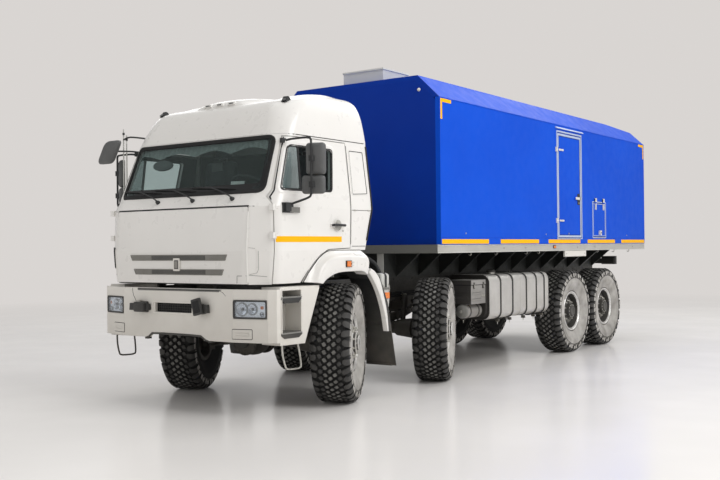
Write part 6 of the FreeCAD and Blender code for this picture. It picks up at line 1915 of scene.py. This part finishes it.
def bunk():
    """A mattress with quilted channels, on its locker."""
    kit = Kit(VINYL)
    front, back = BUNK_Y
    last = 42
    rows = []
    for j, x in enumerate(spaced(-BUNK_X, BUNK_X, last + 1)):
        end = min(1.0, (last - j) / 1.5, j / 1.5) ** 0.4
        channel = 0.022 * abs(math.sin(math.pi * j / 7)) ** 0.35
        row = [at(x, front, BUNK_Z)]
        for t in spaced(0.0, 1.0, 15):
            edge = min(1.0, t / 0.10, (1 - t) / 0.10) ** 0.4
            lift = (0.150 + channel * math.sin(math.pi * t) ** 0.5) * edge
            row.append(at(x, front + (back - front) * t, BUNK_Z + lift * end))
        rows.append(row + [at(x, back, BUNK_Z)])
    kit.grid(rows)
    kit.grid([[at(x, y, BUNK_Z) for y in BUNK_Y] for x in (-BUNK_X, BUNK_X)])
    mattress = kit.put("bunk_mattress", "cab", sharp=60.0)
    locker = Kit(LINER, TRIM, ZINC)
    locker.box(1, (-BUNK_X, BUNK_X), (0.075, 0.410), (1.655, 1.996))
    for x in (-0.52, 0.52):
        locker.box(1, (x - 0.300, x + 0.300), (0.068, 0.076), (1.720, 1.940), 1, 0.003)
        locker.box(1, (x - 0.040, x + 0.040), (0.060, 0.069), (1.900, 1.918), 2, 0.002)
    locker.put("bunk_locker", "cab", bevel=0.004)


def dash_details():
    """Instrument hood, gauges, vents, switches and papers on the dashboard."""
    kit = Kit(PLASTIC, TRIM, ZINC, PAPER, GRILLE_DARK, ORANGE, SHELL)
    hood = ((-1.020, 2.124), (-0.900, 2.084), (-0.905, 2.190), (-0.960, 2.215), (-1.030, 2.190))
    kit.prism([(y + AXLE_1_Y, z) for y, z in hood], 0.330, 0.790)
    for x in (0.450, 0.560, 0.670):
        kit.lathe([(0.0, 0.0), (0.0, 0.044), (0.006, 0.046), (0.006, 0.040), (0.001, 0.038)],
                  facing(at(x, -0.902, 2.140), (0, 1, 0.2)), 28, colours=[4, 2, 2, 6, 6])
        kit.box(1, (x - 0.002, x + 0.002), (-0.902, -0.899), (2.142, 2.172), 5)
    for x in (-0.80, -0.35, 0.10, 0.85):
        for z in (2.000 + 0.014 * k for k in range(5)):
            kit.box(1, (x - 0.070, x + 0.070), (-0.886, -0.876), (z, z + 0.006), 4)
    for x in (-0.16 + 0.055 * k for k in range(8)):
        kit.box(1, (x, x + 0.036), (-0.882, -0.868), (1.930, 1.970), 6, 0.003)
    # papers on the ledge in front of the driver
    for x, y, turn, size in ((0.560, -0.985, 0.3, 0.075), (0.420, -0.990, -0.3, 0.046)):
        lay = (Matrix.Translation(at(x, y, 2.212 + size * 0.6)) @ Matrix.Rotation(turn, 4, "Z")
               @ Matrix.Rotation(math.radians(72), 4, "X"))
        kit.prism(rectangle(-size, size, -size * 0.6, size * 0.6, 0.004, 2), 0.0, 0.004, 2, 3, lay)
    kit.put("dash_details", "cab", bevel=0.002)


def inner_mirror():
    """The mirror inside the cab, on its curved stem."""
    kit = Kit(SHELL, MIRROR_GLASS, PLASTIC)
    middle = at(-0.600, -0.905, 2.525)
    kit.loft([[middle + Vector((0.155 * share * math.cos(math.pi * k / 16), depth,
                                0.058 * share * math.sin(math.pi * k / 16))) for k in range(32)]
              for depth, share in ((-0.018, 0.60), (-0.014, 0.90), (0.0, 1.0), (0.008, 0.98))],
             low=True, last=1)
    stem = ((0.0, -0.010, 0.030), (0.02, 0.028, 0.130), (0.03, 0.050, 0.212))
    kit.tube(ease([middle + Vector(p) for p in stem], 5), 0.007, 8, 2)
    kit.put("inner_mirror", "cab")


def valance():
    """A rod with a short scalloped curtain under the brow."""
    rod = Kit(TRIM)
    rod.tube([at(-0.940, -0.846, 2.742), at(0.940, -0.846, 2.742)], 0.006, 8)
    for x in (-0.90, 0.0, 0.90):
        rod.box(1, (x - 0.015, x + 0.015), (-0.872, -0.838), (2.735, 2.749), 0, 0.002)
    rod.put("curtain_rod", "cab")
    curtain = Kit(VALANCE)
    rows = []
    for share in spaced(0.0, 1.0, 9):
        row = []
        for x in spaced(-0.930, 0.930, 181):
            arch = abs(math.sin(math.pi * (x + 0.110) / 0.520))
            drop = (0.152 - 0.052 * arch) * share
            fold = 0.006 * math.sin(2 * math.pi * x / 0.075) * (0.3 + 0.7 * share)
            row.append(at(x, -0.857 - 0.41 * drop + fold, 2.738 - drop))
        rows.append(row)
    curtain.grid(rows)
    piece = curtain.put("curtain_valance", "cab", sharp=80.0)


lining()
seats()
bunk()
dash_details()
inner_mirror()
valance()


# ---- stage, lights and camera --------------------------------------------------------
BACKDROP = linear(216, 212, 209)


def make_stage():
    """A wide floor that fades into the backdrop."""
    mesh = bpy.data.meshes.new("floor")
    half = 90.0
    ground = cad_low.z
    mesh.from_pydata([(-half, -half, ground), (half, -half, ground), (half, half, ground),
                      (-half, half, ground)], [], [(0, 1, 2, 3)])
    floor = bpy.data.objects.new("floor", mesh)
    bpy.context.scene.collection.objects.link(floor)
    n = Finish("studio_floor")
    n.done(linear(250, 247, 244), n.spread(n.noise(0.6, 4.0), 0.3, 0.7, 0.16, 0.24),
           **{"Specular IOR Level": 0.3})
    glow = n.add("Emission", {"Color": BACKDROP})["Emission"]
    length = n.add("VectorMath", {0: n.coords}, operation="LENGTH")["Value"]
    mesh.materials.append(n.cover(n.spread(length, 8.5, 20.0), n.shader.outputs["BSDF"], glow))


def make_world():
    """Soft light all round; what is seen directly or through glass is the backdrop."""
    world = bpy.data.worlds.new("studio")
    bpy.context.scene.world = world
    n = Nodes(world)
    light = n.tree.nodes["Background"]
    n.feed(light, {"Color": (1.0, 0.985, 0.97, 1.0), "Strength": 0.50})
    seen = n.add("Background", {"Color": BACKDROP, "Strength": 1.0})["Background"]
    rays = n.add("LightPath", {})
    direct = n.add("Math", {0: rays["Is Camera Ray"], 1: rays["Is Transmission Ray"]},
                   operation="MAXIMUM")["Value"]
    mixed = n.add("MixShader", {"Fac": direct, 1: light.outputs["Background"], 2: seen})["Shader"]
    n.feed(n.tree.nodes["World Output"], {"Surface": mixed})


def area_light(name, place, target, size, power):
    """A rectangular lamp at place, turned toward target."""
    data = bpy.data.lights.new(name, "AREA")
    data.shape = "RECTANGLE"
    data.size, data.size_y = size
    data.energy = power
    lamp = bpy.data.objects.new(name, data)
    lamp.location = place
    lamp.rotation_mode = "QUATERNION"
    lamp.rotation_quaternion = (Vector(target) - Vector(place)).to_track_quat("-Z", "Y")
    bpy.context.scene.collection.objects.link(lamp)


def make_camera():
    """The photograph's viewpoint: 47.7 mm on a 36 mm sensor, eye level beside the cab."""
    data = bpy.data.cameras.new("camera")
    data.lens = 47.66
    data.sensor_width = 36.0
    camera = bpy.data.objects.new("camera", data)
    yaw, pitch, roll = 0.6247, -0.0079, -0.0098
    ahead = Vector((-math.sin(yaw) * math.cos(pitch), math.cos(yaw) * math.cos(pitch),
                    -math.sin(pitch)))
    right = ahead.cross(Vector(UP)).normalized()
    up = right.cross(ahead)
    turned_right = right * math.cos(roll) + up * math.sin(roll)
    turned_up = -right * math.sin(roll) + up * math.cos(roll)
    pose = Matrix((turned_right, turned_up, -ahead)).transposed().to_4x4()
    pose.translation = at(7.118, -7.9946, 1.6254)
    camera.matrix_world = pose
    bpy.context.scene.collection.objects.link(camera)
    bpy.context.scene.camera = camera


make_stage()
make_world()
area_light("key", (11.0, -3.0, 9.5), (0.5, -1.0, 1.6), (8.0, 6.0), 850.0)
area_light("top", (0.0, 0.0, 11.0), (0.0, 0.0, 0.0), (9.0, 14.0), 270.0)
area_light("front", (-3.5, -10.5, 3.4), (0.0, -5.0, 1.8), (5.0, 3.6), 40.0)
area_light("rear", (2.0, 12.0, 12.0), (0.0, 3.0, 1.5), (9.0, 6.0), 560.0)
area_light("low", (9.5, 1.5, 1.1), (0.0, 1.0, 0.9), (9.0, 1.4), 55.0)
area_light("far", (-11.0, 6.0, 9.5), (0.0, 1.0, 1.5), (10.0, 6.0), 260.0)
make_camera()
bpy.context.scene.view_settings.view_transform = "Standard"
